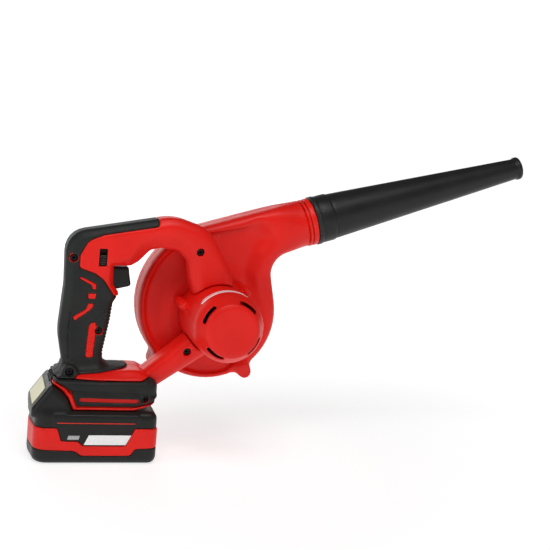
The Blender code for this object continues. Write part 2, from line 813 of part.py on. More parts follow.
def build_battery():
    body = pack_prism("body", 0.0, 0.0, BATTERY_TOP, edge=BATTERY_EDGE)
    build_upper_case(body)
    build_lower_case(body)
    build_cells()
    discard(body)
    finish(box("board", (-44.0, 40.0), (-28.0, 28.0), (42.0, 43.6)), "battery_board", GREEN)

    carrier = box("carrier", (-24.0, -10.3), (-13.0, 13.0), (PLUG_LOW - 0.3, 65.6))
    for y in (-BLADE_Y, BLADE_Y):
        cut(carrier, box("slot", (-20.0, 0.0), (y - 0.8, y + 0.8), (BLADE_Z[0] - 0.5, 70.0)))
    finish(carrier, "battery_contacts", BLACK)

    button = box("button", RELEASE_X, (-RELEASE_HALF, RELEASE_HALF), RELEASE_Z)
    cut(button, box("well", (-44.4, -39.6), (-12.5, 12.5), (60.0, RELEASE_WELL)))
    finish(button, "battery_release_button", BLACK, origin=(-42.0, 0.0, RELEASE_Z[0]))
    foot = (-42.0, 0.0, RELEASE_FLOOR + GAP)
    length = RELEASE_WELL - RELEASE_FLOOR - 2 * GAP
    spring = coil_spring("spring", foot, (0, 0, 1), 1.5, length, 5, 0.35)
    finish(spring, "release_spring", STEEL, origin=foot)


def coil_spring(name, base, direction, radius, length, turns, wire):
    """A coil spring standing on its base along a direction."""
    steps = turns * 8
    stand = aim(base, direction)
    points = []
    for step in range(steps + 1):
        angle = 2 * math.pi * step / 8
        rise = wire + (length - 2 * wire) * step / steps
        place = Vector((radius * math.cos(angle), radius * math.sin(angle), rise)) * MM
        points.append((stand @ place) / MM)
    return tube(name, points, wire, resolution=0)


# ---------------------------------------------------------------- fan casing

NECK = (173.0, 197.5, 16)
NECK_FILLET = (171.6, 198.1, 29)
NECK_HALF = 12.0
NECK_START = 372.2             # degrees; here the fillet leaves the scroll
NECK_END = -20.0


def scroll_radius(angle):
    travel = (angle - SCROLL_END) / SCROLL_TURN
    return SCROLL_SMALL + SCROLL_GROWTH * (1.0 - travel) ** 3


def scroll_arc():
    """The scroll, anticlockwise from where it leaves the duct's roof to the neck."""
    corners = []
    for step in range(SCROLL_STEPS + 1):
        angle = SCROLL_END + SCROLL_TURN * step / SCROLL_STEPS
        corners.append((*around_motor(scroll_radius(angle), angle), 0))
    return corners


def casing_outline(inset):
    """The scroll with its neck and the square rear of the duct."""
    corners = [*scroll_arc(), NECK]
    for distance, rise in ((-48.0, -24.8), (-48.0, 25.8)):
        corners.append((*along_duct(distance, rise), 0))
    return rounded(grown(corners, -inset), steps=5)


def neck_outline():
    """The large fillet between the scroll and the duct's floor, with its root inside the casing."""
    corners = [
        (*around_motor(SCROLL_SMALL, NECK_START), 0), NECK_FILLET, (*along_duct(NECK_END, -23.8), 0),
        (*along_duct(NECK_END, -5.0), 0), (*along_duct(-50.0, -5.0), 0), (*around_motor(50.0, 380.0), 0),
    ]
    return rounded(corners)


def dish_outline():
    corners = scroll_arc()
    for rise in (-24.0, 25.4):
        corners.append((*along_duct(-56.0, rise), 0))
    return rounded(grown(corners, -DISH_RIM))


def duct_ring(distance, width, height, power):
    """Cross-section of the duct: a squircle that turns into a circle as the power nears 2."""
    ring = []
    for step in range(DUCT_SIDES):
        angle = 2 * math.pi * step / DUCT_SIDES
        side = math.copysign(abs(math.cos(angle)) ** (2 / power), math.cos(angle)) * width
        rise = math.copysign(abs(math.sin(angle)) ** (2 / power), math.sin(angle)) * height
        x, z = along_duct(distance, rise)
        ring.append((x, VOLUTE_MID + side, z))
    return ring


def duct_loft(name, inset, start, end):
    rings = []
    for step in range(6):
        t = step / 5
        width = VOLUTE_FAR - VOLUTE_MID - 0.4 - inset
        height = DUCT_RADIUS + 1.4 * (1 - t) - inset
        rings.append(duct_ring(start + (end - start) * t, width, height, 5.5 - 3.5 * t))
    return loft(name, rings)


def duct_piece(name, profile, sides=DUCT_SIDES):
    """A shape turned around the duct's axis, from (radius, distance) points."""
    return turned(name, profile, DUCT_ORIGIN, (math.cos(TILT), 0, math.sin(TILT)), sides=sides)


def duct_rod(name, radius, start, end):
    """A plain round bar on the duct's axis."""
    return duct_piece(name, [(0, start), (radius, start), (radius, end), (0, end)])


def casing_form(name, low, high, edge):
    """The outside of the casing with its duct, ribs and spigot."""
    return join(
        prism(name, casing_outline(0.0), low, high, edge=edge),
        duct_loft("duct", 0.0, -57.0, -10.0),
        prism("neck", neck_outline(), VOLUTE_MID - NECK_HALF, VOLUTE_MID + NECK_HALF, edge=4.0),
        duct_rod("rib", DUCT_RADIUS + 0.5, -12.0, NOZZLE_START - 0.4),
        duct_rod("spigot", SPIGOT_RADIUS, -12.0, SPIGOT_END),
    )


def air_space():
    """The open space for the fan and the air, through to the spigot's mouth."""
    return join(
        prism("air", casing_outline(VOLUTE_WALL), VOLUTE_NEAR + DISH_DEPTH + VOLUTE_WALL,
              VOLUTE_FAR - VOLUTE_WALL, edge=3.0),
        duct_loft("duct_air", VOLUTE_WALL, -54.0, -9.0),
        duct_rod("bore", SPIGOT_BORE, -10.0, SPIGOT_END + 10),
    )


def build_volute():
    near = casing_form("near", VOLUTE_NEAR, VOLUTE_MID + 12, 5.0)
    far = casing_form("far", VOLUTE_MID - 12, VOLUTE_FAR, 8.0)
    lug_depth = LUG_END - LUG_START
    for x, z in VOLUTE_LUGS:
        for half in (near, far):
            join(half, cylinder("lug", (x, LUG_START, z), (0, 1, 0), LUG_RADIUS, lug_depth, sides=16))
            cut(half, cylinder("bore", (x, LUG_START - 1, z), (0, 1, 0), SCREW_SHANK_RADIUS + GAP,
                               lug_depth - 4, sides=12))
    air = air_space()
    groove = duct_piece("groove", [(SEAL_INNER - GAP, SEAL_START - GAP), (30, SEAL_START - GAP),
                                   (30, SEAL_END + GAP), (SEAL_INNER - GAP, SEAL_END + GAP)])
    for half in (near, far):
        combine(half, air, "DIFFERENCE", keep=True)
        combine(half, groove, "DIFFERENCE", keep=True)
    discard(air, groove)

    cut(near, prism("dish", dish_outline(), 0.0, VOLUTE_NEAR + DISH_DEPTH))
    cut(near, cylinder("centre", (MOTOR_X, 10, MOTOR_Z), (0, 1, 0), BOSS_HOLE, 20, sides=24))
    for angle in BOSS_ANGLES:
        cut(near, cylinder("hole", place_on_ring(angle, 10), (0, 1, 0), SCREW_SHANK_RADIUS + GAP,
                           20, sides=12))
    finish(side_of(near, "half", -1, VOLUTE_MID), "volute_near", RED)

    collar = [
        (INTAKE_RADIUS + 3.3, VOLUTE_FAR - 1), (INTAKE_RADIUS + 3.3, COLLAR_END),
        (COLLAR_RADIUS + 0.3, COLLAR_END), (COLLAR_RADIUS + 0.3, VOLUTE_FAR - 1),
    ]
    join(far, turned("collar", collar, MOTOR_AXIS, (0, 1, 0), sides=40))
    cut(far, cylinder("intake", (MOTOR_X, 55, MOTOR_Z), (0, 1, 0), INTAKE_RADIUS - 2.7, 20, sides=40))
    finish(side_of(far, "half", 1, VOLUTE_MID), "volute_far", RED)
    discard(near, far)

    grille = turned("grille", [(COLLAR_RADIUS - 3.4, GRILLE_Y), (COLLAR_RADIUS, GRILLE_Y),
                               (COLLAR_RADIUS, GRILLE_Y + 2.5), (COLLAR_RADIUS - 3.4, GRILLE_Y + 2.5)],
                    MOTOR_AXIS, (0, 1, 0), sides=40)
    join(grille, turned("ring", [(16.5, GRILLE_Y + 0.2), (19.0, GRILLE_Y + 0.2), (19.0, GRILLE_Y + 2.3),
                                 (16.5, GRILLE_Y + 2.3)], MOTOR_AXIS, (0, 1, 0), sides=32))
    join(grille, cylinder("hub", (MOTOR_X, GRILLE_Y + 0.1, MOTOR_Z), (0, 1, 0), 7.0, 2.2, sides=20))
    for spoke in range(8):
        bar = box("bar", (5.0, COLLAR_RADIUS - 1.5), (GRILLE_Y + 0.3, GRILLE_Y + 2.2), (-1.0, 1.0))
        turn = Matrix.Rotation(math.radians(45 * spoke + 10), 4, "Y")
        bar.data.transform(Matrix.Translation(Vector((MOTOR_X, 0, MOTOR_Z)) * MM) @ turn)
        join(grille, bar)
    finish(grille, "intake_grille", BLACK)

    for number, (x, z) in enumerate(VOLUTE_LUGS, start=1):
        top = LUG_START - GAP - 2.4
        profile = screw_profile(3.2, 2.4, lug_depth - 4.6)
        finish(turned("screw", profile, (x, top, z), (0, 1, 0), sides=14), f"volute_screw_{number}", DARK,
               origin=(x, top, z))


# ---------------------------------------------------------------- motor and fan

def around_axis(name, profile, sides=32):
    """A shape turned around the motor's axis, from (radius, y) points."""
    return turned(name, profile, MOTOR_AXIS, (0, 1, 0), sides=sides)


def build_motor_housing():
    outer = [(HOUSING_RADIUS, HOUSING_BASE), (HOUSING_RADIUS - 1.3, CHAMFER_START),
             (DISC_RADIUS, HOUSING_FRONT), (0, HOUSING_FRONT)]
    inner = [(0, HOUSING_FRONT + HOUSING_WALL), (DISC_RADIUS - 1.4, HOUSING_FRONT + HOUSING_WALL),
             (HOUSING_RADIUS - 1.3 - HOUSING_WALL, CHAMFER_START + 1.0),
             (HOUSING_RADIUS - HOUSING_WALL, HOUSING_BASE)]
    housing = around_axis("housing", [*outer, *inner], sides=40)
    for angle in BOSS_ANGLES:
        join(housing, cylinder("boss", place_on_ring(angle, HOUSING_BASE), (0, -1, 0), BOSS_RADIUS,
                               HOUSING_BASE + 19.0, sides=16))
    cut(housing, cylinder("room", (MOTOR_X, CHAMFER_START, MOTOR_Z), (0, 1, 0),
                          HOUSING_RADIUS - 1.5 - HOUSING_WALL, 100, sides=40))
    for angle in BOSS_ANGLES:
        cut(housing, cylinder("bore", place_on_ring(angle, 30), (0, -1, 0), SCREW_SHANK_RADIUS + GAP,
                              42, sides=12))
    for centre in VENT_ANGLES:
        first, last = centre - VENT_SWEEP, centre + VENT_SWEEP
        outside = arc(MOTOR_X, MOTOR_Z, VENT_RADIUS + VENT_WIDTH / 2, first, last, 6)
        inside = arc(MOTOR_X, MOTOR_Z, VENT_RADIUS - VENT_WIDTH / 2, last, first, 6)
        cut(housing, prism("vent", outside + inside, HOUSING_FRONT - 10, CHAMFER_START + 3))
    start = Vector((*around_motor(45.0, WIRE_ANGLE), 0))
    cut(housing, cylinder("wire_hole", (start.x, 0, start.y),
                          (-math.cos(math.radians(WIRE_ANGLE)), 0, -math.sin(math.radians(WIRE_ANGLE))),
                          5.5, 20, sides=16))
    finish(housing, "motor_housing", RED)
    for number, angle in enumerate(BOSS_ANGLES, start=1):
        profile = screw_profile(3.0, 2.4, 33.0)
        place = place_on_ring(angle, 26.0)
        finish(turned("screw", profile, place, (0, -1, 0), sides=14), f"housing_screw_{number}", DARK,
               origin=place)


def ring_section(inner, outer, low, high):
    return [(inner, low), (outer, low), (outer, high), (inner, high)]


def magnet(name, middle):
    outline = arc(MOTOR_X, MOTOR_Z, CAN_RADIUS - 1.6, middle - 55, middle + 55, 10)
    outline += arc(MOTOR_X, MOTOR_Z, ROTOR_RADIUS + 0.5, middle + 55, middle - 55, 10)
    finish(prism(name, outline, -18.0, 17.5), name, DARK)


def build_motor():
    can = [
        (CAN_RADIUS, -36.5), (CAN_RADIUS, 20.5), (8.0, 20.5), (8.0, 26.0), (5.4, 26.0), (5.4, 20.8),
        (SHAFT_RADIUS + 0.7, 20.8), (SHAFT_RADIUS + 0.7, 19.3), (CAN_RADIUS - 1.2, 19.3),
        (CAN_RADIUS - 1.2, -36.5),
    ]
    finish(around_axis("can", can), "motor_can", STEEL)
    bell = [
        (CAN_RADIUS, -36.8), (CAN_RADIUS, -42.0), (7.0, -42.0), (7.0, -46.0), (5.4, -46.0), (5.4, -41.0),
        (SHAFT_RADIUS + 0.7, -41.0), (SHAFT_RADIUS + 0.7, -39.6), (17.0, -39.6), (17.0, -36.8),
    ]
    finish(around_axis("bell", bell), "motor_end_bell", BLACK)
    race = SHAFT_RADIUS + GAP
    finish(around_axis("bearing", ring_section(race, 5.1, 21.1, 25.8), sides=24), "bearing_front", STEEL)
    finish(around_axis("bearing", ring_section(race, 5.1, -45.7, -41.3), sides=24), "bearing_rear", STEEL)
    magnet("motor_magnet_upper", 90)
    magnet("motor_magnet_lower", 270)
    for word, side in (("upper", 1), ("lower", -1)):
        reach = sorted((MOTOR_Z + side * 5.6, MOTOR_Z + side * 11.5))
        finish(box("brush", (MOTOR_X - 2.5, MOTOR_X + 2.5), (-31.0, -27.0), reach), f"motor_brush_{word}",
               COPPER)


def build_fan():
    shaft = around_axis("shaft", [(0, -47), (SHAFT_RADIUS, -47), (SHAFT_RADIUS, 50), (0, 50)], sides=20)
    finish(shaft, "motor_shaft", STEEL, origin=MOTOR_AXIS)
    bore = SHAFT_RADIUS + GAP
    finish(around_axis("rotor", ring_section(bore, ROTOR_RADIUS, -17.0, 17.0)), "rotor_core", COPPER,
           origin=MOTOR_AXIS)
    finish(around_axis("commutator", ring_section(bore, 5.1, -34.0, -24.0), sides=24), "commutator",
           BRASS, origin=MOTOR_AXIS)
    fan = around_axis("fan", [
        (bore, 27.0), (8.0, 27.0), (8.0, 28.5), (FAN_RADIUS, 28.5), (FAN_RADIUS, 30.0), (8.0, 30.0),
        (8.0, 44.0), (bore, 44.0),
    ], sides=36)
    for blade in range(BLADES):
        start = 360.0 * blade / BLADES
        join(fan, prism("blade", blade_outline(start), 29.3, BLADE_TOP))
    finish(fan, "impeller", BLACK, origin=MOTOR_AXIS)
    nut = cylinder("nut", (MOTOR_X, 44.3, MOTOR_Z), (0, 1, 0), 4.6, 3.7, sides=6)
    cut(nut, cylinder("bore", (MOTOR_X, 40, MOTOR_Z), (0, 1, 0), bore, 12, sides=16))
    finish(nut, "impeller_nut", STEEL, origin=MOTOR_AXIS)


def blade_outline(start):
    """A backward-curved blade: its tip lags behind its root as the fan turns."""
    front = []
    back = []
    for step in range(6):
        t = step / 5
        radius = BLADE_ROOT + (FAN_RADIUS - 1.0 - BLADE_ROOT) * t
        middle = start + BLADE_SWEEP * t
        half = math.degrees(0.8 / radius)
        front.append(around_motor(radius, middle + half))
        back.append(around_motor(radius, middle - half))
    return front + back[::-1]


# ---------------------------------------------------------------- nozzle

def build_nozzle():
    bore = SPIGOT_RADIUS + GAP
    profile = [
        (25.6, NOZZLE_START), (25.6, 2.0), (24.8, 2.8), (24.8, 17.0), (24.0, 17.8), (11.2, 236.5),
        (12.4, 236.5), (12.4, NOZZLE_END), (9.4, NOZZLE_END), (9.4, 236.0), (21.6, 29.0),
        (bore, 28.0), (bore, NOZZLE_START),
    ]
    finish(duct_piece("nozzle", profile), "nozzle", BLACK, origin=DUCT_ORIGIN)
    seal = ring_section(SEAL_INNER, bore - 0.25, SEAL_START, SEAL_END)
    finish(duct_piece("seal", seal), "nozzle_seal", RUBBER, origin=DUCT_ORIGIN)


# ---------------------------------------------------------------- controls, terminals and wires

def build_controls():
    outline = [(3.0, 186.5, 0), (23.0, 186.5, 1), (24.5, 178.0, 12), (26.3, 168.5, 3), (13.0, 165.0, 1),
               (3.0, 168.0, 0)]
    trigger = prism("trigger", rounded(outline), -TRIGGER_HALF, TRIGGER_HALF, edge=0.8)
    finish(trigger, "trigger", BLACK, origin=(3.0, 0.0, 177.0))
    finish(box("switch", (-26.0, SWITCH_FRONT), (-8.0, 8.0), (163.0, 185.0)), "trigger_switch", BLACK)
    foot = (SWITCH_FRONT + GAP, 0.0, 177.0)
    spring = coil_spring("spring", foot, (1, 0, 0), 2.6, 3.0 - SWITCH_FRONT - 2 * GAP, 5, 0.4)
    finish(spring, "trigger_spring", STEEL, origin=foot)
    bar = box("bar", (SLOT_X[0] + 0.5, SLOT_X[1] - 0.3), (-16.5, 16.5), BAR_Z)
    finish(bar, "selector_bar", BLACK, origin=(-3.2, 0.0, 193.3))


def build_terminals():
    block = box("block", (0.0, 30.0), (-PLUG_HALF, PLUG_HALF), (PLUG_LOW, 74.0))
    finish(block, "terminal_block", BLACK)
    for word, side in (("right", -1), ("left", 1)):
        y = side * BLADE_Y
        blade = box("blade", (-15.0, -GAP), (y - 0.4, y + 0.4), BLADE_Z)
        finish(blade, f"terminal_blade_{word}", BRASS)


def build_wires():
    for word, side, material in (("positive", 1, RED_WIRE), ("negative", -1, BLACK_WIRE)):
        y = 4.0 * side
        route = [(6, y, 75.8), (-4, y, 79), (-14, y, 87), (-20, y, 104), (-21, y, 125), (-19.5, y, 146),
                 (-18, y, 162.5)]
        finish(tube("lead", smooth_path(route, steps=2), WIRE_RADIUS), f"lead_{word}", material)
    for word, side, material in (("red", 1, RED_WIRE), ("black", -1, BLACK_WIRE)):
        y = 3.0 * side
        route = [
            (-18, y, 185.6), (-19, y, 196), (-16, y, 206), (-4, y, 213.5), (16, y, 218), (40, y, 222),
            (62, y, 224), (80, y, 221), (94, y, 215), (101.5, y, 204), (103.5, y, 192),
            (102.3, 2.5 * side, 182), (105.5, 2.4 * side, 170.5), (107 + 2 * side, -6, 165),
            (107 + 2 * side, -22, 163.5), (108.5 + 2 * side, -38, 162.5),
        ]
        finish(tube("lead", smooth_path(route, steps=2), WIRE_RADIUS), f"motor_lead_{word}", material)


build_handle()
build_battery()
build_volute()
build_motor_housing()
build_motor()
build_fan()
build_nozzle()
build_controls()
build_terminals()
build_wires()
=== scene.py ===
"""The looks of the cordless leaf blower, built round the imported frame.

Lengths are in millimetres and become metres (MM) where a mesh is made. X points forward, out of
the nozzle, Y to the blower's left and Z up. Moulded pieces are signed-distance fields: a function
gives each point's distance from the surface, and surface nets turn the field into a mesh.
"""

import functools
import json
import math

import bmesh
import bpy
import numpy as np
from mathutils import Matrix, Vector


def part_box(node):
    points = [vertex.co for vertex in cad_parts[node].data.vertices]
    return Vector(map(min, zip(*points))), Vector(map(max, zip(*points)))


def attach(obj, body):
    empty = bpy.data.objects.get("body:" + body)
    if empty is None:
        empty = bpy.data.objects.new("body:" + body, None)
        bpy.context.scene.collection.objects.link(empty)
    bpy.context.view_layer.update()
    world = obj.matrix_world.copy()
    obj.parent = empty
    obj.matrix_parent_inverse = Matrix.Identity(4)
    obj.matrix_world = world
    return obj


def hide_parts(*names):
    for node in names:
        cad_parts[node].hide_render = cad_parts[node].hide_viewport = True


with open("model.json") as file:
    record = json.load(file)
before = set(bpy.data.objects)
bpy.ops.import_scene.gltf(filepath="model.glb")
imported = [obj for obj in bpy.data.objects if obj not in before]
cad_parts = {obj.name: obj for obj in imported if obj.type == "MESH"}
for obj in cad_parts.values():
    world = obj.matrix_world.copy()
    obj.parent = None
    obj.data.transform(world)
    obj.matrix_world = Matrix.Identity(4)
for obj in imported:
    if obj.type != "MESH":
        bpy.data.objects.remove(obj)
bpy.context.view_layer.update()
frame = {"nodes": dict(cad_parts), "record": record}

MM = 0.001
COARSE = 1.0

# Motor, fan and duct axes
MOTOR_X = 115.0
MOTOR_Z = 140.0
TILT = math.radians(17.66)
DUCT_X, DUCT_Y, DUCT_Z = 221.0, 42.0, 239.8

PARTING = 0.15                 # half of the gap between two moulded halves
GROOVE = 0.3                   # clearance between neighbouring pieces
EDGE = 0.8                     # blend at a moulded edge
FINE_EDGE = 0.5                # blend at the edge of a small feature

# Handle and foot
HANDLE_HALF = 17.5
SKIN = 2.0                     # thickness of the rubber
WALL = 2.2
FOOT_HALF = 33.2
FOOT_TOP_HALF = 26.0
FOOT_BOTTOM = 51.3
SEAT_RADIUS = 3.9
SEAT_DEPTH = 7.5
BOSS_RADIUS = 4.8

# Battery, its rail and its release button
BATTERY_HALF = 39.0
BATTERY_TOP = 51.8
CASE_SPLIT = 34.9
CASE_WALL = 4.8
BAND_DEPTH = 2.2
HUMP_HALF = 36.0
RAIL_FRONT = 36.0
RAIL_NECK = 22.6
RAIL_FLANGE = 27.4
RAIL_LOW = 61.0
RAIL_TOP = 66.0
SLIDE_GAP = 0.4
BUTTON_X = -42.0
BUTTON_DEPTH = 3.5
BUTTON_HALF = 15.0

# Fan casing
CASING_MIDDLE = 42.1
CASING_HALF = 23.85
VOLUTE_NEAR = 18.3
VOLUTE_WALL = 2.4
SCROLL_SMALL = 67.5
SCROLL_GROWTH = 20.5
SCROLL_END = 107.66
SCROLL_TURN = 277.0
SPIGOT_RADIUS = 21.6
SPIGOT_BORE = 19.4
DUCT_RINGS = ((-12.4, -9.8), (-8.6, -3.1))
LUGS = ((155.0, 79.0), (62.0, 85.0))
LUG_RADIUS = 6.0
COLLAR_RADIUS = 34.35
GRILLE_Y = 68.25
SPOKES = 8
SPOKE_START = 10.0

# Motor housing, with its screw posts and vents
HOUSING_RADIUS = 35.3
HOUSING_FACE = -73.5
HOUSING_END = 20.4
HOUSING_WALL = 2.4
HOUSING_BEVEL = (9.0, 16.5)
POSTS = (49.0, 161.0, 285.0)
POST_CIRCLE = 38.5
VENTS = (58.0, 148.0, 238.0, 328.0)
VENT_CIRCLE = 27.6
VENT_SPAN = 17.5

# Trigger and selector bar
TRIGGER_HALF = 8.0
TRIGGER_SPRING_Z = 177.0
SELECTOR_Z = 193.3

# Screws: name, how many, radius and depth of the head, radius of the shank
SCREWS = (
    ("handle_screw", 6, 3.4, 2.6, 1.5),
    ("housing_screw", 3, 3.0, 2.4, 1.5),
    ("volute_screw", 2, 3.2, 2.4, 1.5),
)

# Camera: metres, degrees and a focal length for a 36 mm sensor
CAMERA_PLACE = (-0.122, -1.008, 0.327)
CAMERA_AZIMUTH = 16.23
CAMERA_DROP = 7.67
CAMERA_ROLL = 5.21
CAMERA_LENS = 68.73

# Lights: name, place and size in metres, power in watts
LIGHT_TARGET = (0.15, 0.0, 0.15)
LIGHTS = (
    ("top", (0.0, -0.65, 1.3), (0.9, 0.6), 9.5),
    ("key", (-1.3, -0.7, 0.6), (0.6, 0.6), 5.0),
    ("fill", (1.2, -0.9, 0.5), (0.8, 0.8), 0.9),
    ("rear", (-0.3, 1.6, 0.6), (1.8, 1.0), 9.0),
)


# ---- outlines

def rounded(corners, steps=6):
    """Closed outline, as an array, whose corners (u, v, radius) are rounded to their radii."""
    outline = []
    for index, (u, v, radius) in enumerate(corners):
        corner = Vector((u, v))
        before = Vector(corners[index - 1][:2]) - corner
        after = Vector(corners[(index + 1) % len(corners)][:2]) - corner
        if radius == 0:
            outline.append((u, v))
            continue
        half = before.angle(after) / 2
        reach = min(radius / math.tan(half), 0.48 * before.length, 0.48 * after.length)
        radius = reach * math.tan(half)
        bisector = (before.normalized() + after.normalized()).normalized()
        centre = corner + bisector * radius / math.sin(half)
        first = corner + before.normalized() * reach - centre
        last = corner + after.normalized() * reach - centre
        turn = first.angle_signed(last)
        for step in range(steps + 1):
            spoke = first.copy()
            spoke.rotate(Matrix.Rotation(-turn * step / steps, 2))
            outline.append(tuple(centre + spoke))
    return np.array(outline, dtype=np.float32)


def around_motor(radius, angle):
    """(x, z) at a radius and an angle, in degrees, about the motor's axis."""
    x = MOTOR_X + radius * math.cos(math.radians(angle))
    z = MOTOR_Z + radius * math.sin(math.radians(angle))
    return (x, z)


def along_duct(distance, rise):
    """(x, z) at a distance along the duct's axis and a rise above it."""
    x = DUCT_X + distance * math.cos(TILT) - rise * math.sin(TILT)
    z = DUCT_Z + distance * math.sin(TILT) + rise * math.cos(TILT)
    return (x, z)


# ---- distance fields

def outline_distance(outline, u, v):
    """Signed distance from points to a closed outline, negative inside."""
    squared = np.float32(1e12)
    inside = False
    for start, end in zip(outline, np.roll(outline, -1, axis=0)):
        edge_u, edge_v = end - start
        from_u = u - start[0]
        from_v = v - start[1]
        length = edge_u ** 2 + edge_v ** 2 + 1e-12
        along = np.clip((from_u * edge_u + from_v * edge_v) / length, 0, 1)
        squared = np.minimum(squared, (from_u - edge_u * along) ** 2 + (from_v - edge_v * along) ** 2)
        if edge_v != 0:
            crosses = (start[1] <= v) != (end[1] <= v)
            inside = inside ^ (crosses & (from_u < from_v * edge_u / edge_v))
    return np.sqrt(squared) * np.where(inside, -1, 1).astype(np.float32)


def path_distance(path, u, v):
    """Distance from points to an open path."""
    squared = np.float32(1e12)
    for start, end in zip(path, path[1:]):
        edge_u = end[0] - start[0]
        edge_v = end[1] - start[1]
        from_u = u - start[0]
        from_v = v - start[1]
        along = np.clip((from_u * edge_u + from_v * edge_v) / (edge_u ** 2 + edge_v ** 2), 0, 1)
        squared = np.minimum(squared, (from_u - edge_u * along) ** 2 + (from_v - edge_v * along) ** 2)
    return np.sqrt(squared)


def both(a, b, blend=0.0):
    """Intersection of two fields, with its edge rounded."""
    if np.isscalar(blend) and blend == 0:
        return np.maximum(a, b)
    overlap = np.maximum(blend - np.abs(a - b), 0) / blend
    return np.maximum(a, b) + overlap ** 2 * blend / 4


def either(a, b, blend=0.0):
    """Union of two fields, with a fillet."""
    return -both(-a, -b, blend)


def without(a, b, blend=0.0):
    return both(a, -b, blend)


def nearest(*fields):
    """Union of several fields, with sharp corners."""
    return functools.reduce(np.minimum, fields)


def squircle(first, second, power):
    """The length of a vector, measured so that circles have squarer corners."""
    return (np.clip(first, 0, None) ** power + np.clip(second, 0, None) ** power) ** (1 / power)


def eased(value):
    """A smooth step from 0 to 1."""
    value = np.clip(value, 0, 1)
    return value * value * (3 - 2 * value)


def bevelled(side, face, width, depth, blend):
    """Solid inside two fields whose common edge has a flat bevel."""
    slope = (depth * side + width * face + width * depth) / np.hypot(width, depth)
    return both(both(side, face, blend), slope, blend)


def block(p, x, y, z):
    """A box from its (low, high) limits."""
    return functools.reduce(np.maximum, (
        np.abs(value - (low + high) / 2) - (high - low) / 2 for value, (low, high) in zip(p, (x, y, z))
    ))


def rod(p, x, z, radius, low, high, blend=0.0):
    """A round bar parallel to Y."""
    side = np.hypot(p[0] - x, p[2] - z) - radius
    return both(side, np.abs(p[1] - (low + high) / 2) - (high - low) / 2, blend)


def duct_frame(p):
    """(distance along, rise, sideways) of points in the duct's own directions."""
    x = p[0] - DUCT_X
    z = p[2] - DUCT_Z
    along = x * math.cos(TILT) + z * math.sin(TILT)
    rise = z * math.cos(TILT) - x * math.sin(TILT)
    return along, rise, p[1] - DUCT_Y


# ---- fields to meshes

CORNERS = [(i, j, k) for i in (0, 1) for j in (0, 1) for k in (0, 1)]
EDGES = [(a, b) for a in range(8) for b in range(a + 1, 8)
         if sum(abs(m - n) for m, n in zip(CORNERS[a], CORNERS[b])) == 1]


def surface_net(values):
    """Vertices, in grid steps, and quads of the zero surface of a grid of values."""
    inside = values < 0
    shape = tuple(n - 1 for n in values.shape)

    def corner(grid, offset):
        return grid[tuple(slice(o, o + n) for o, n in zip(offset, shape))]

    count = sum(corner(inside, offset).astype(np.int8) for offset in CORNERS)
    active = (count > 0) & (count < 8)
    cells = np.argwhere(active)
    number = np.full(shape, -1, dtype=np.int64)
    number[active] = np.arange(len(cells))
    samples = np.stack([corner(values, offset)[active] for offset in CORNERS])
    total = np.zeros((len(cells), 3))
    crossings = np.zeros(len(cells))
    for a, b in EDGES:
        crossed = (samples[a] < 0) != (samples[b] < 0)
        share = np.where(crossed, samples[a] / np.where(crossed, samples[a] - samples[b], 1), 0)
        start = np.array(CORNERS[a], dtype=float)
        step = np.array(CORNERS[b], dtype=float) - start
        total += np.where(crossed[:, None], start + share[:, None] * step, 0)
        crossings += crossed
    points = cells + total / crossings[:, None]
    quads = []
    for axis in range(3):
        first, second = [a for a in range(3) if a != axis]
        low = [slice(None)] * 3
        high = [slice(None)] * 3
        low[axis] = slice(0, -1)
        high[axis] = slice(1, None)
        changed = inside[tuple(low)] != inside[tuple(high)]
        starts_inside = inside[tuple(low)]
        places = np.argwhere(changed)
        keep = np.ones(len(places), dtype=bool)
        for other in (first, second):
            keep &= (places[:, other] > 0) & (places[:, other] < values.shape[other] - 1)
        places = places[keep]
        ring = []
        for du, dv in ((1, 1), (0, 1), (0, 0), (1, 0)):
            cell = places.copy()
            cell[:, first] -= du
            cell[:, second] -= dv
            ring.append(number[tuple(cell.T)])
        quad = np.stack(ring, axis=1)
        flip = starts_inside[tuple(places.T)] == (axis == 1)
        quad[flip] = quad[flip][:, ::-1]
        quads.append(quad)
    return points, np.concatenate(quads)


def settle(field, points, reach):
    """Moves points onto the field's surface by Newton steps."""
    small = 0.05
    for _ in range(3):
        x, y, z = points.T
        here = field((x, y, z))
        aside = ((x + small, y, z), (x, y + small, z), (x, y, z + small))
        slope = np.stack([field(place) - here for place in aside], axis=1) / small
        steep = np.maximum((slope ** 2).sum(axis=1), 0.05)
        step = slope * (here / steep)[:, None]
        length = np.linalg.norm(step, axis=1)
        step *= np.minimum(1, reach / np.maximum(length, 1e-9))[:, None]
        points = points - step
    return points


def moulded(name, field, low, high, cell):
    """A mesh object of a field's surface inside a box."""
    cell = cell * COARSE
    axes = [np.arange(a - 0.37 * cell, b + cell, cell, dtype=np.float32) for a, b in zip(low, high)]
    grid = np.ix_(*axes)
    values = np.broadcast_to(field(grid), [len(a) for a in axes]).astype(np.float64)
    points, quads = surface_net(values)
    points = np.array([a[0] for a in axes]) + points * cell
    points = settle(field, points, 0.5 * cell)
    return mesh_object(name, points * MM, quads)


def mesh_object(name, points, faces):
    """A smooth mesh, in metres, in the scene."""
    mesh = bpy.data.meshes.new(name)
    mesh.from_pydata([tuple(p) for p in points], [], [tuple(int(i) for i in f) for f in faces])
    mesh.update()
    mesh.shade_smooth()
    obj = bpy.data.objects.new(name, mesh)
    bpy.context.scene.collection.objects.link(obj)
    return obj


def face_outward(obj):
    """Turns every face of a closed mesh outward."""
    work = bmesh.new()
    work.from_mesh(obj.data)
    bmesh.ops.recalc_face_normals(work, faces=work.faces)
    work.to_mesh(obj.data)
    work.free()


def half(field, y, side):
    """The side (-1 or +1) of a plane square to Y, with the parting edge slightly rounded."""
    return lambda p: both(field(p), (y - p[1]) * side, 0.7)


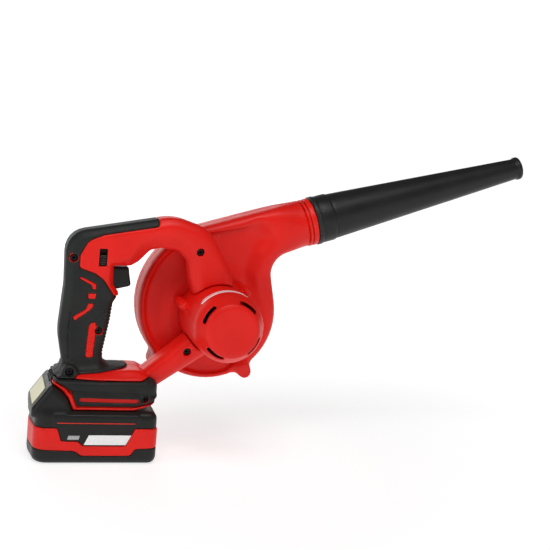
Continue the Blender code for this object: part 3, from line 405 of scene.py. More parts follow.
# ---- materials

class Shading:
    """A material's node tree, with short ways to add to it."""

    def __init__(self, name):
        self.material = bpy.data.materials.new(name)
        self.material.use_nodes = True
        self.nodes = self.material.node_tree.nodes
        self.links = self.material.node_tree.links
        self.shader = self.nodes["Principled BSDF"]
        self.place = self.nodes.new("ShaderNodeTexCoord").outputs["Object"]

    def noise(self, size, detail=2.0, stretch=(1, 1, 1)):
        """Noise whose features are about a size in millimetres, as a 0 to 1 output."""
        mapping = self.nodes.new("ShaderNodeMapping")
        mapping.inputs["Scale"].default_value = [1 / (size * MM * s) for s in stretch]
        self.links.new(self.place, mapping.inputs["Vector"])
        noise = self.nodes.new("ShaderNodeTexNoise")
        noise.inputs["Scale"].default_value = 1.0
        noise.inputs["Detail"].default_value = detail
        self.links.new(mapping.outputs["Vector"], noise.inputs["Vector"])
        return noise.outputs["Fac"]

    def remap(self, value, low, high, to_low, to_high):
        node = self.nodes.new("ShaderNodeMapRange")
        limits = {"From Min": low, "From Max": high, "To Min": to_low, "To Max": to_high}
        for socket, limit in limits.items():
            node.inputs[socket].default_value = limit
        self.links.new(value, node.inputs["Value"])
        return node.outputs["Result"]

    def mixed(self, factor, first, second):
        node = self.nodes.new("ShaderNodeMix")
        node.data_type = "RGBA"
        self.put(node.inputs[6], first)
        self.put(node.inputs[7], second)
        self.put(node.inputs[0], factor)
        return node.outputs[2]

    def combined(self, first, second, operation="ADD"):
        node = self.nodes.new("ShaderNodeMath")
        node.operation = operation
        self.put(node.inputs[0], first)
        self.put(node.inputs[1], second)
        return node.outputs[0]

    def edges(self, low, high):
        """0 on flat and hollow places, rising to 1 on worn outer edges."""
        pointiness = self.nodes.new("ShaderNodeNewGeometry").outputs["Pointiness"]
        return self.remap(pointiness, low, high, 0.0, 1.0)

    def bump(self, height, distance):
        node = self.nodes.new("ShaderNodeBump")
        node.inputs["Strength"].default_value = 1.0
        node.inputs["Distance"].default_value = distance * MM
        self.links.new(height, node.inputs["Height"])
        self.links.new(node.outputs["Normal"], self.shader.inputs["Normal"])

    def put(self, socket, value):
        """A number, a colour or another node's output on a socket."""
        if isinstance(value, tuple):
            socket.default_value = (*value, 1.0)
        elif isinstance(value, (int, float)):
            socket.default_value = value
        else:
            self.links.new(value, socket)

    def feed(self, socket, value):
        self.put(self.shader.inputs[socket], value)


def moulded_plastic(name, colour, dark, light, rough, grain, bump, coat=0.0, mottle=40.0):
    """Moulded plastic or rubber: flow mottle, spark-eroded grain, handling marks and rubbed edges."""
    s = Shading(name)
    flow = s.remap(s.noise(mottle, 3.0), 0.3, 0.7, 0.0, 1.0)
    tint = s.mixed(flow, dark, colour)
    patchy = s.remap(s.noise(4.0, 4.0), 0.42, 0.62, 0.2, 1.0)
    rubbed = s.combined(s.edges(0.52, 0.6), patchy, "MULTIPLY")
    s.feed("Base Color", s.mixed(rubbed, tint, light))
    handled = s.remap(s.noise(18.0, 4.0, stretch=(1, 1, 2)), 0.3, 0.7, rough - 0.06, rough + 0.06)
    scuffs = s.remap(s.noise(2.2, 3.0, stretch=(9, 3, 1)), 0.66, 0.74, 0.0, 0.12)
    s.feed("Roughness", s.combined(handled, scuffs))
    fine = s.noise(grain, 2.0)
    coarse = s.remap(s.noise(grain * 5, 2.0), 0.3, 0.7, -0.35, 0.35)
    s.bump(s.combined(fine, coarse), bump)
    s.feed("Specular IOR Level", 0.25)
    s.feed("Coat Weight", coat)
    s.feed("Coat Roughness", 0.22)
    return s.material


def bare_metal(name, colour, dark, rough):
    """Metal with drawn or turned marks and a patchy oxide."""
    s = Shading(name)
    patches = s.remap(s.noise(6.0, 4.0), 0.35, 0.68, 0.0, 1.0)
    s.feed("Base Color", s.mixed(patches, colour, dark))
    marks = s.noise(0.5, 3.0, stretch=(1, 8, 1))
    s.feed("Roughness", s.remap(marks, 0.3, 0.7, rough - 0.1, rough + 0.12))
    s.feed("Metallic", 1.0)
    s.bump(marks, 0.02)
    return s.material


def circuit_board(name):
    """Solder mask with a regular run of paler tracks."""
    s = Shading(name)
    wave = s.nodes.new("ShaderNodeTexWave")
    wave.inputs["Scale"].default_value = 180.0
    wave.inputs["Distortion"].default_value = 3.0
    s.links.new(s.place, wave.inputs["Vector"])
    tracks = s.remap(wave.outputs["Fac"], 0.55, 0.6, 0.0, 1.0)
    s.feed("Base Color", s.mixed(tracks, (0.01, 0.09, 0.03), (0.03, 0.2, 0.07)))
    s.feed("Roughness", s.remap(tracks, 0.0, 1.0, 0.35, 0.5))
    s.bump(tracks, 0.04)
    return s.material


def printed(name, colour, dark):
    """A plain printed or stuck-on patch with slightly uneven ink."""
    s = Shading(name)
    ink = s.remap(s.noise(3.0, 4.0), 0.35, 0.65, 0.0, 1.0)
    s.feed("Base Color", s.mixed(ink, dark, colour))
    s.feed("Roughness", s.remap(s.noise(1.0, 2.0), 0.3, 0.7, 0.35, 0.5))
    s.bump(s.noise(0.4, 2.0), 0.01)
    return s.material


MATERIALS = {
    "red": moulded_plastic(
        "red_moulded", (0.81, 0.010, 0.005), (0.71, 0.008, 0.004), (0.84, 0.04, 0.02),
        0.42, 0.28, 0.02, coat=0.03,
    ),
    "black": moulded_plastic(
        "black_moulded", (0.014, 0.015, 0.014), (0.009, 0.010, 0.009), (0.045, 0.047, 0.045),
        0.42, 0.3, 0.035,
    ),
    "rubber": moulded_plastic(
        "black_overmould", (0.017, 0.019, 0.017), (0.010, 0.012, 0.011), (0.05, 0.054, 0.05),
        0.55, 0.4, 0.045, mottle=25.0,
    ),
    "steel": bare_metal("bright_steel", (0.60, 0.61, 0.63), (0.38, 0.38, 0.4), 0.32),
    "dark": bare_metal("black_oxide", (0.05, 0.05, 0.055), (0.02, 0.02, 0.022), 0.42),
    "brass": bare_metal("brass", (0.75, 0.55, 0.22), (0.5, 0.34, 0.12), 0.3),
    "copper": bare_metal("copper", (0.62, 0.27, 0.13), (0.38, 0.15, 0.07), 0.36),
    "board": circuit_board("circuit_board"),
    "cell": moulded_plastic(
        "cell_sleeve", (0.10, 0.30, 0.50), (0.08, 0.24, 0.42), (0.2, 0.42, 0.6), 0.4, 0.4, 0.01,
    ),
    "red_wire": moulded_plastic(
        "red_insulation", (0.5, 0.02, 0.02), (0.42, 0.015, 0.015), (0.6, 0.08, 0.06), 0.5, 0.3, 0.01,
    ),
    "black_wire": moulded_plastic(
        "black_insulation", (0.02, 0.02, 0.02), (0.012, 0.012, 0.012), (0.06, 0.06, 0.06),
        0.5, 0.3, 0.01,
    ),
    "white_print": printed("white_print", (0.94, 0.94, 0.93), (0.88, 0.88, 0.87)),
    "cream_label": printed("cream_label", (0.80, 0.76, 0.52), (0.74, 0.70, 0.46)),
    "grey_print": printed("grey_print", (0.45, 0.45, 0.45), (0.36, 0.36, 0.36)),
}


# ---- placing pieces

def ribbon(name, rungs, thick=0.2):
    """A thin closed strip through rungs of (one end, other end, outward), half sunk in a surface."""
    points = []
    for first, last, outward in rungs:
        sunk = Vector(outward) * -thick / 2
        proud = Vector(outward) * thick / 2
        first, last = Vector(first), Vector(last)
        points += [place * MM for place in (first + sunk, last + sunk, last + proud, first + proud)]
    faces = [(0, 1, 2, 3), tuple(4 * (len(rungs) - 1) + i for i in (3, 2, 1, 0))]
    for rung in range(len(rungs) - 1):
        for corner in range(4):
            after = (corner + 1) % 4
            low = 4 * rung
            high = low + 4
            faces.append((low + corner, high + corner, high + after, low + after))
    strip = mesh_object(name, points, faces)
    face_outward(strip)
    strip.data.shade_flat()
    return strip


def piece(obj, body, slot, material=None):
    """A finished visible piece: its material, its body and its finish."""
    obj.data.materials.clear()
    obj.data.materials.append(MATERIALS[material or slot])
    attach(obj, body)


def stand_in(obj, node, body, slot):
    """A piece that is shown in place of a CAD node."""
    piece(obj, body, slot)
    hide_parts(node)


def mould(node, field, low, high, cell, body, slot):
    stand_in(moulded(f"{node}_form", field, low, high, cell), node, body, slot)


# ---- handle and foot

HANDLE = rounded([
    (-33.5, 84, 0), (-40.8, 121, 60), (-37.4, 168, 50), (-38.9, 217.2, 22),
    (64, 239, 45), (98, 228.5, 26), (137, 165.5, 0), (MOTOR_X, MOTOR_Z, 0),
    (108, 106.6, 0), (55, 69.6, 0), (48, 66, 0), (-28, 66, 0),
])

OPENING = rounded([
    (24, 188.6, 3), (31, 193, 6), (42, 205, 8), (52, 207.6, 14), (70, 205.5, 12),
    (80, 196, 10), (83.6, 176, 15), (90, 158, 0), (98, 133, 0), (90, 127.1, 0),
    (42, 86, 0), (3.4, 83.5, 0), (2.6, 104, 4),
    (7.8, 136, 50), (9.4, 152, 8), (14.4, 160.4, 1), (13.4, 163.8, 1), (8.6, 170, 5),
    (8.2, 187.6, 1),
])

COVER = rounded([
    (-70, 84, 0), (-70, 260, 0), (50, 260, 0), (48, 228.3, 3), (-3, 217.6, 10),
    (-18, 211, 12), (-25, 197, 8), (-25, 185, 4), (-10, 180.3, 8),
    (-1.5, 174.5, 4), (9, 159.8, 1), (18, 157, 0), (25, 150, 0), (25, 84, 0),
])

FOOT = rounded([
    (-24, FOOT_BOTTOM, 2), (32.5, FOOT_BOTTOM, 14), (51, 55.2, 9), (56.8, 63, 7),
    (56.5, 78, 8), (44, 84.8, 8), (-38, 82, 4), (-44.5, 80.5, 3), (-44.2, 75.5, 2),
    (-35, 68.5, 4), (-29, 63, 3),
])

HUMP = rounded([
    (-36, 76, 0), (47, 76, 0), (46.5, 81.5, 4), (40, 88.4, 7), (26, 89, 8),
    (-20, 83.6, 8), (-38, 81.6, 4),
])

BUMPER = rounded([
    (-47, 77.9, 0), (-40.5, 76.6, 2), (-31.7, 71.3, 5), (-26, 65.6, 3), (-20.8, 53.9, 1),
    (32.5, 53.9, 14), (50, 57.4, 9), (58.5, 64, 0), (60, 90, 0), (48, 84, 3),
    (40, 80.4, 8), (0, 79.8, 20), (-22.5, 80.7, 3), (-47, 80.9, 0),
])

# Where the grip's rubber goes on over the rear of the foot's hump
SKIRT = rounded([
    (-60, 80.6, 0), (-24, 80.8, 1), (-21, 83.9, 2), (26, 89.6, 0), (26, 120, 0),
    (-60, 120, 0),
])

# Shallow hollow in each bumper's side
TRAY = rounded([
    (-23.4, 66.2, 2), (46, 64.6, 3), (46, 59.5, 4), (31, 55.9, 6), (-18, 55.9, 2),
])

# Red islands of the core that come up through the grip's rubber
ISLANDS = [
    rounded([(-24.4, 177.2, .5), (-13, 172.6, 2), (-8.2, 170.2, 1.5), (-8, 164.6, .8),
             (-11.2, 164.9, .8), (-12.6, 169, 2), (-23.6, 174.6, .5)]),
    rounded([(-15.1, 161.3, .6), (-7.7, 161.3, .6), (-8, 155.9, .6), (-15.1, 155.9, .6)]),
    rounded([(-14.6, 151.6, .6), (-9, 151.2, .6), (-10.6, 147, 2), (-14.4, 143.4, 3),
             (-26.3, 134.2, .8), (-28.6, 137.8, .8), (-16.6, 145.6, 3)]),
    rounded([(-12.6, 130.8, 2), (-7.2, 134.2, 1), (-5, 129, 2), (-6.4, 112, 20),
             (-7, 99, 2), (-14.3, 98.6, 2), (-13.8, 112, 20)]),
]

# Screws of the handle: x, z, half-width of the surface there and half-length of the boss
HANDLE_SCREWS = (
    (-30.5, 194.0, HANDLE_HALF, 15.5), (-2.8, 125.0, HANDLE_HALF, 15.5),
    (-28.7, 85.9, FOOT_TOP_HALF, 18.5), (43.9, 62.3, FOOT_HALF, 25.7),
    (90.1, 206.0, HANDLE_HALF, 15.5), (84.4, 107.1, HANDLE_HALF, 15.5),
)
FOOT_REAR_SCREW = HANDLE_SCREWS[2][:2]

# Openings in the handle and the foot, as (low, high) limits in x, y and z
SELECTOR_SLOT = ((-7.0, 0.5), (-30, 30), (187.5, 204.4))
TRIGGER_OPENING = ((-4.0, 30.0), (-8.6, 8.6), (164.2, 187.2))
FOOT_ROOM = ((-26, 34), (-25.1, 25.1), (69.0, 79.4))
BUTTON_GROOVE = ((-80, -37.9), (-15.6, 15.6), (62, 83))
TERMINAL_POCKET = ((-0.5, 30.5), (-15.4, 15.4), (60, 75))


def handle_field(p):
    """The D of the handle: bevelled all round, with a wider facet under the top bar's front."""
    x, y, z = p
    face = np.abs(y) - HANDLE_HALF
    outer = bevelled(outline_distance(HANDLE, x, z), face, 7.0, 6.0, 3.0)
    wide = 8.0 - 3.0 * eased((x - 70.0) / 25.0)
    facet = 5.0 + eased((x - 12.0) / 24.0) * eased((z - 150.0) / 40.0) * wide
    inner = bevelled(-outline_distance(OPENING, x, z), face, facet, 6.0, 3.0)
    return both(outer, inner, 1.0)


def foot_field(p):
    """The foot, softer at its top and front, and the hump on it."""
    x, y, z = p
    soft = 2.5 + 6.5 * eased((z - 62.0) / 8.0) + 5.0 * eased((x - 34.0) / 16.0)
    foot = both(outline_distance(FOOT, x, z), np.abs(y) - FOOT_HALF, soft)
    hump = both(outline_distance(HUMP, x, z), np.abs(y) - FOOT_TOP_HALF, 7.0)
    return either(foot, hump, 4.0)


def brim_field(p):
    """The rubber's thin brim round the foot of the grip, blunt at its rear."""
    x, y, z = p
    half_length, half_width = 34.0, 22.3
    rise = z - 87.0 - 0.12 * x
    power = 3.2 - 1.2 * eased((x + 20.0) / 20.0)
    spread = squircle(np.abs(x + 7.0) / half_length, np.abs(y) / half_width, power)
    top = rise - 0.5 - 3.4 * (1.0 - spread ** 2)
    return both(both(top, -1.4 - rise, EDGE), (spread - 1.0) * 22.0, EDGE)


def seats(p):
    """Sunk seats of the handle's screws, on the right side."""
    return nearest(*(
        rod(p, x, z, SEAT_RADIUS, -face - 6, -face + SEAT_DEPTH) for x, z, face, _ in HANDLE_SCREWS
    ))


def bosses(p, extra=0.0):
    """The bosses that the handle's screws go through, made larger by extra."""
    radius = BOSS_RADIUS + extra
    return nearest(*(
        rod(p, x, z, radius, -reach - extra, reach + extra) for x, z, _, reach in HANDLE_SCREWS
    ))


def channel(p):
    """The room in the foot for the battery: a T-shaped slot, the button's groove and the terminals."""
    neck_half = RAIL_NECK + SLIDE_GAP
    flange_half = RAIL_FLANGE + SLIDE_GAP
    length = (-80, RAIL_FRONT + 2 * SLIDE_GAP)
    neck = block(p, length, (-neck_half, neck_half), (40, 64))
    flange = block(p, length, (-flange_half, flange_half), (RAIL_LOW - SLIDE_GAP, RAIL_TOP + SLIDE_GAP))
    return nearest(neck, flange, block(p, *BUTTON_GROOVE), block(p, *TERMINAL_POCKET))


def islands(p):
    """Distance from the red islands' outlines."""
    x, _, z = p
    return nearest(*(outline_distance(outline, x, z) for outline in ISLANDS))


def shell_field(p):
    """Both halves of the red clamshell."""
    x, _, z = p
    handle = handle_field(p)
    foot = foot_field(p)
    cover = outline_distance(COVER, x, z) - GROOVE
    solid = either(without(handle, cover, EDGE), handle + SKIN)
    ribs = 0.35 * np.sin(z * 2 * math.pi / 2.6) * (z < 133) * (z > 99)
    solid = either(solid, both(handle + 0.55 + ribs, islands(p), FINE_EDGE))
    rubber = nearest(outline_distance(BUMPER, x, z), outline_distance(SKIRT, x, z)) - GROOVE
    solid = either(solid, either(without(foot, rubber, EDGE), foot + SKIN + 0.6), 1.5)
    solid = without(solid, nearest(handle + SKIN + WALL, block(p, *FOOT_ROOM)))
    solid = either(solid, np.maximum(bosses(p), nearest(handle, foot) + 1.0))
    seat = rod(p, MOTOR_X, MOTOR_Z, 35.6, -60, 60)
    for angle in POSTS:
        seat = nearest(seat, rod(p, *around_motor(POST_CIRCLE, angle), 5.1, -19.3, 60))
    cuts = nearest(channel(p), block(p, *TRIGGER_OPENING), block(p, *SELECTOR_SLOT), seats(p))
    return without(without(solid, cuts, FINE_EDGE), seat, EDGE)


def cover_field(p):
    """Both halves of the grip's rubber, with its skirt, screw swell and grooves."""
    x, _, z = p
    handle = handle_field(p)
    front = np.clip((x + 4.0) / 6.0, 0, 1) * (z < 150) * (z > 100)
    grip = both(handle + 0.3 * front * np.sin(z * 2 * math.pi / 3.4), outline_distance(COVER, x, z), 2.0)
    groove = path_distance([(-30.6, 142.0), (-31.6, 120.0), (-30.0, 98.0)], x, z) - 0.7
    grip = without(grip, np.maximum(groove, -(handle + 0.9)), 1.0)
    crease = path_distance([(6.0, 147.0), (-6.0, 137.1)], x, z) - 0.5
    grip = without(grip, np.maximum(crease, -(handle + 0.6)), EDGE)
    foot = foot_field(p)
    skirt = both(foot - 0.25, outline_distance(SKIRT, x, z), 2.0)
    cover = either(either(grip, brim_field(p), 10.0), skirt, 3.0)
    swell = rod(p, *FOOT_REAR_SCREW, 6.6, -24.0, 24.0, 3.0)
    cover = either(cover, swell, 4.0)
    cover = without(cover, foot + SKIN + GROOVE)
    below = np.maximum(foot - GROOVE, GROOVE - outline_distance(SKIRT, x, z))
    cover = without(cover, below, FINE_EDGE)
    cover = without(cover, handle + SKIN - GROOVE)
    cover = without(cover, islands(p) - 0.2, EDGE)
    holes = nearest(bosses(p, GROOVE), block(p, *TRIGGER_OPENING), seats(p))
    return without(cover, holes, 0.6)


def bumper_field(p):
    """Both of the foot's rubber bumpers, with a crease, a shallow tray and a strip in each side."""
    x, y, z = p
    foot = foot_field(p)
    pad = both(foot, outline_distance(BUMPER, x, z), 5.0)
    sides = 30.0 - np.abs(y)
    crease = np.maximum(np.hypot(foot, z - 67.4 + 0.03 * x) - 1.3, sides)
    pad = without(pad, crease, 2.5)
    hollow = np.maximum(outline_distance(TRAY, x, z), np.maximum(-(foot + 0.8), sides))
    pad = without(pad, hollow, 1.5)
    strip = path_distance([(-16.6, 61.0), (36.2, 60.4)], x, z) - 1.9
    pad = without(pad, np.maximum(strip, sides), EDGE)
    pad = without(pad, foot + SKIN + GROOVE)
    pad = without(pad, handle_field(p) - GROOVE, 0.6)
    holes = nearest(channel(p), seats(p) + GROOVE, bosses(p, GROOVE))
    return without(pad, holes, 0.6)


def build_handle():
    for word, side in (("right", -1), ("left", 1)):
        near, far = (-36, 1) if side < 0 else (-1, 36)
        for name, field, low, high, cell, slot in (
            ("handle_shell", shell_field, (-47, near, 51), (125, far, 238), 0.95, "red"),
            ("grip_cover", cover_field, (-45, near, 80), (53, far, 238), 0.75, "rubber"),
            ("foot_bumper", bumper_field, (-47, near, 51), (56, far, 86), 0.75, "rubber"),
        ):
            part = half(field, side * PARTING, side)
            mould(f"{name}_{word}", part, low, high, cell, "blower", slot)


# ---- battery

# Outlines of the pack: its plan, then its band, side panels, the frame round them and its hump
PLAN = rounded([
    (-58.5, -BATTERY_HALF, 14), (58, -BATTERY_HALF, 9), (58, BATTERY_HALF, 9),
    (-58.5, BATTERY_HALF, 14), (-63.5, 0, 60),
], steps=10)

BAND = rounded([
    (-70, 14.5, 0), (-21, 13, 3), (-14, 8.3, 4), (32, 8.4, 4), (37, 15.2, 3),
    (70, 16.5, 0), (70, CASE_SPLIT, 0), (-70, CASE_SPLIT, 0),
])

PANEL = rounded([
    (-40.5, 50, 0), (-38.8, 39, 2), (-33.5, 22.6, 3), (-18.3, 22.6, 3), (-12.7, 18.2, 2),
    (27.2, 18.2, 3), (35.6, 36, 3), (37.9, 50, 0),
])

FRAME_SIDE = rounded([
    (-44.5, 48.8, 3), (41, 48.8, 3), (36.6, 38, 2), (36.6, 30, 0), (-39.2, 30, 0),
    (-39.8, 38, 2),
])

PACK_HUMP = rounded([
    (-62.6, 44, 0), (-62.6, 52, 4), (-47.4, 73.6, 5), (-44.9, 75.1, 0), (-35.3, 67.9, 0),
    (-29.5, 62.5, 0), (-24.7, 52, 0), (-24.7, 44, 0),
])


# Hollows in the upper case and the button, as (low, high) limits in x, y and z
PLUG_BAY = ((-10.0, 50.0), (-17.0, 17.0), (56.0, 80.0))
CONTACT_BAY = ((-24.4, -9.0), (-13.4, 13.4), (56.4, 80.0))
BUTTON_WELL = ((-44.4, -39.6), (-12.5, 12.5), (60.0, 77.0))


def pack_field(p, plan):
    """The whole pack without its hump and rail, from the distance to its plan."""
    z = p[2]
    return both(plan, np.abs(z - BATTERY_TOP / 2) - BATTERY_TOP / 2, 8.0)


def upper_case_field(p):
    """The pack's top, with its side panels, hump and rail."""
    x, y, z = p
    plan = outline_distance(PLAN, x, y)
    pack = pack_field(p, plan)
    side = outline_distance(PANEL, x, z)
    frame_side = outline_distance(FRAME_SIDE, x, z)
    raised = both(both(pack, frame_side, 1.5), -(plan + 6.0))
    case = both(either(pack + 1.1, raised, 1.0), CASE_SPLIT + GROOVE - z, 1.2)
    panel = np.maximum(both(pack + 0.35, side, 1.2), np.maximum(-(plan + 2.2), z - 41.0))
    case = without(case, np.maximum(both(side, z - 40.3, FINE_EDGE), -(plan + 0.35)), FINE_EDGE)
    case = either(case, panel, FINE_EDGE)
    hump = both(outline_distance(PACK_HUMP, x, z), np.abs(y) - HUMP_HALF, 7.0)
    case = either(case, np.maximum(hump, 44.0 - z), 5.0 - 4.0 * eased((x + 32.0) / 6.0))
    neck = block(p, (-30.0, RAIL_FRONT), (-RAIL_NECK, RAIL_NECK), (47.0, 63.0))
    flange = block(p, (-29.0, RAIL_FRONT), (-RAIL_FLANGE, RAIL_FLANGE), (RAIL_LOW, RAIL_TOP))
    case = nearest(case, neck, flange)
    cavity = np.maximum(plan + CASE_WALL, np.abs(z - 30.0) - 17.0)
    pocket_half = BUTTON_HALF + SLIDE_GAP
    pocket_depth = BUTTON_DEPTH + SLIDE_GAP
    pocket = block(
        p, (BUTTON_X - pocket_depth, BUTTON_X + pocket_depth), (-pocket_half, pocket_half), (52.3, 90.0),
    )
    return without(case, nearest(cavity, block(p, *PLUG_BAY), block(p, *CONTACT_BAY), pocket), FINE_EDGE)


def lower_case_field(p):
    """The pack's bottom, sunk where the band goes."""
    x, y, z = p
    plan = outline_distance(PLAN, x, y)
    case = both(pack_field(p, plan), z - CASE_SPLIT, EDGE)
    recess = np.minimum(outline_distance(BAND, x, z), outline_distance(PANEL, x, z)) - GROOVE
    case = without(case, np.maximum(recess, -(plan + 2.5)), EDGE)
    return without(case, np.maximum(plan + CASE_WALL, 2.6 - z))


def band_field(p):
    """The red band, broken by a black panel in each side."""
    x, y, z = p
    plan = outline_distance(PLAN, x, y)
    band = both(both(plan, outline_distance(BAND, x, z), 1.6), -(plan + BAND_DEPTH))
    return without(band, outline_distance(PANEL, x, z) - GROOVE, 1.0)


def button_field(p):
    """The release button: ridged on top and hollow for its spring."""
    x, y, z = p
    body = both(np.abs(x - BUTTON_X) - BUTTON_DEPTH, np.abs(y) - BUTTON_HALF, 1.5)
    body = both(body, np.abs(z - 73.5) - 6.5, 2.5)
    ridges = 0.4 * np.cos(y * 2 * math.pi / 3.0) * (z > 76) * (np.abs(y) < 12)
    return without(body + ridges, block(p, *BUTTON_WELL))


def build_pack_marks():
    """Plain patches where the pack carries print, a red line over each panel and a blank label."""
    side_marks = (
        ("patch", "white_print", (-12.6, 19.3, -8.1, 28.8), (27.2, 19.3, 32.0, 28.8)),
        ("rating", "grey_print", (-28.2, 24.4, -27.2, 28.2), (-17.6, 24.4, -16.6, 28.2)),
        ("line", "red", (-38.2, 40.0, -38.2, 40.7), (35.2, 40.0, 35.2, 40.7)),
    )
    for word, side in (("right", -1), ("left", 1)):
        for name, finish, start, end in side_marks:
            face = side * (BATTERY_HALF - (0.0 if name == "line" else 0.35))
            rungs = [((x0, face, z0), (x1, face, z1), (0, side, 0)) for x0, z0, x1, z1 in (start, end)]
            mark = ribbon(f"pack_{name}_{word}", rungs)
            piece(mark, "battery", "red" if finish == "red" else "black", finish)
    low = Vector((-61.5, 0.0, 54.3))
    high = Vector((-50.4, 0.0, 70.2))
    outward = Vector((-(high - low).z, 0, (high - low).x)).normalized()
    rungs = [((low.x, y, low.z), (high.x, y, high.z), outward) for y in (-24.0, 24.0)]
    piece(ribbon("pack_label", rungs, 0.5), "battery", "black", "cream_label")


def build_battery():
    build_pack_marks()
    for node, field, low, high, cell, slot in (
        ("battery_upper_case", upper_case_field, (-65, -41, 14), (60, 41, 79), 0.9, "black"),
        ("battery_lower_case", lower_case_field, (-65, -41, -2), (60, 41, 36), 0.9, "black"),
        ("battery_band", band_field, (-65, -41, 6), (60, 41, 36), 0.8, "red"),
    ):
        mould(node, field, low, high, cell, "battery", slot)
    stand_in(
        moulded("release_button_form", button_field, (-47, -17, 66), (-37, 17, 82), 0.4),
        "battery_release_button", "release_button", "black",
    )


# ---- fan casing

def scroll(inset=0.0):
    """Corners of the scroll, from where it leaves the duct's roof to the neck under the duct."""
    corners = []
    for step in range(45):
        share = 0.955 * step / 44
        radius = SCROLL_SMALL + SCROLL_GROWTH * (1.0 - share) ** 3 - inset
        corners.append((*around_motor(radius, SCROLL_END + SCROLL_TURN * share), 0))
    return corners


CASING = rounded([
    *scroll(), (171.6, 198.1, 29), (*along_duct(-20, -23.9), 60), (*along_duct(10, -23.8), 0),
    (*along_duct(10, 23.8), 0), (*along_duct(-38, 25.6), 120),
], steps=12)
DISH = rounded([
    *scroll(7)[:31], (162, 110, 20), (168, 134, 20), (153.5, 164, 20), (149, 184, 16),
    (158, 205, 12), (*along_duct(-54, -4), 10), (*along_duct(-62, 12), 8),
])


def casing_body(p, inset=0.0):
    """The scroll and the duct in one: a plan given thickness, whose section ends up round."""
    x, y, z = p
    along, rise, _ = duct_frame(p)
    plan = outline_distance(CASING, x, z)
    share = eased((along + 62.0) / 50.0) * eased((rise + 58.0) / 28.0)
    power = 5.0 - 3.0 * share
    half_width = CASING_HALF - inset
    reach = squircle(1.0 + (plan + inset) / half_width, np.abs(y - CASING_MIDDLE) / half_width, power)
    return (reach - 1.0) * half_width


def dish_floor(x, z):
    """How far in the near face is sunk: deeper towards its rim."""
    axis = np.hypot(x - MOTOR_X, z - MOTOR_Z)
    return VOLUTE_NEAR + 2.5 + 2.2 * eased((axis - 42.0) / 14.0)


def casing_field(p, near):
    """The whole casing, hollow: its scroll, duct, spigot, screw lugs and intake collar."""
    x, y, z = p
    along, rise, side = duct_frame(p)
    round_duct = np.hypot(rise, side)
    solid = casing_body(p)
    if near:
        right = eased((x - 138.0) / 16.0)
        dish = both(outline_distance(DISH, x, z), y - dish_floor(x, z), 3.0 + 9.0 * right)
        solid = without(solid, dish, 5.0 + 6.0 * right)
    duct_end = np.maximum(round_duct - 22.4, np.abs(along + 9.0) - 6.1)
    solid = either(np.maximum(solid, along + 13.6), duct_end)
    solid = either(solid, np.maximum(round_duct - SPIGOT_RADIUS, np.abs(along - 9.0) - 18.0))
    for lug_x, lug_z in LUGS:
        solid = either(solid, rod(p, lug_x, lug_z, LUG_RADIUS, 20.5, 58.0, 2.5), 11.0)
    floor = dish_floor(x, z) if near else VOLUTE_NEAR
    air = both(casing_body(p, VOLUTE_WALL), floor + VOLUTE_WALL - y, 2.0)
    air = np.maximum(air, along + 9.0)
    air = np.minimum(air, np.maximum(round_duct - SPIGOT_BORE, -10.0 - along))
    solid = without(solid, air)
    groove = np.maximum(20.6 - round_duct, np.abs(along - 9.5) - 1.8)
    solid = without(solid, np.maximum(groove, round_duct - 30))
    for lug_x, lug_z in LUGS:
        solid = without(solid, rod(p, lug_x, lug_z, 1.8, 21.8, 60.0))
        solid = without(solid, rod(p, lug_x, lug_z, 3.5, lug_head() - 2.6, 60.0))
    if near:
        return without(solid, rod(p, MOTOR_X, MOTOR_Z, 8.5, 5, 35), FINE_EDGE)
    axis = np.hypot(x - MOTOR_X, z - MOTOR_Z)
    collar = np.maximum(np.abs(axis - COLLAR_RADIUS) - 1.65, np.abs(y - 67.5) - 3.5)
    solid = either(solid, both(collar, axis - 40, FINE_EDGE), 2.5)
    return without(solid, np.maximum(axis - 30.0, 58 - y), FINE_EDGE)


def lug_head():
    """Where the lug screws' heads face, on the far side."""
    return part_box("volute_screw_1")[1][1] / MM


def grille_field(p):
    """Three rings joined by radial spokes."""
    x, y, z = p
    axis = np.hypot(x - MOTOR_X, z - MOTOR_Z)
    depth = np.abs(y - GRILLE_Y)
    rings = nearest(np.abs(axis - 30.7) - 1.7, np.abs(axis - 17.75) - 1.25, axis - 7.0)
    field = both(rings, depth - 1.2, EDGE)
    for spoke in range(SPOKES):
        angle = math.radians(360 * spoke / SPOKES + SPOKE_START)
        along = (x - MOTOR_X) * math.cos(angle) - (z - MOTOR_Z) * math.sin(angle)
        across = (x - MOTOR_X) * math.sin(angle) + (z - MOTOR_Z) * math.cos(angle)
        bar = np.maximum(np.abs(across) - 1.0, np.abs(along - 18.0) - 13.0)
        field = either(field, both(bar, depth - 0.95, EDGE), 1.0)
    return field


def build_duct_rings():
    """The raised rings beside the nozzle, one half on each half of the casing."""
    for number, (start, end) in enumerate(DUCT_RINGS, 1):
        profile = [
            (21.8, start), (24.0, start), (24.6, start + 0.3), (24.8, start + 1.0),
            (24.8, end - 1.0), (24.6, end - 0.3), (24.0, end), (21.8, end),
        ]
        for word, turn in (("near", 90), ("far", -90)):
            ring = turned(f"duct_ring_{number}_{word}", profile, 72, turn + 0.2, turn + 179.8)
            piece(ring, "blower", "red")


def build_casing():
    build_duct_rings()
    for node, near, side, low, high in (
        ("volute_near", True, -1, (28, 15, 66), (254, 43, 276)),
        ("volute_far", False, 1, (28, 41, 66), (254, 73, 276)),
    ):
        field = half(lambda p, near=near: casing_field(p, near), DUCT_Y + side * PARTING, side)
        mould(node, field, low, high, 1.05, "blower", "red")
    mould("intake_grille", grille_field, (81, 65.5, 106), (149, 71, 174), 0.45, "blower", "black")


# ---- motor housing

def housing_radius(y):
    """The housing narrows towards its closed face."""
    return HOUSING_RADIUS - 1.3 * (HOUSING_END - y) / 77.4


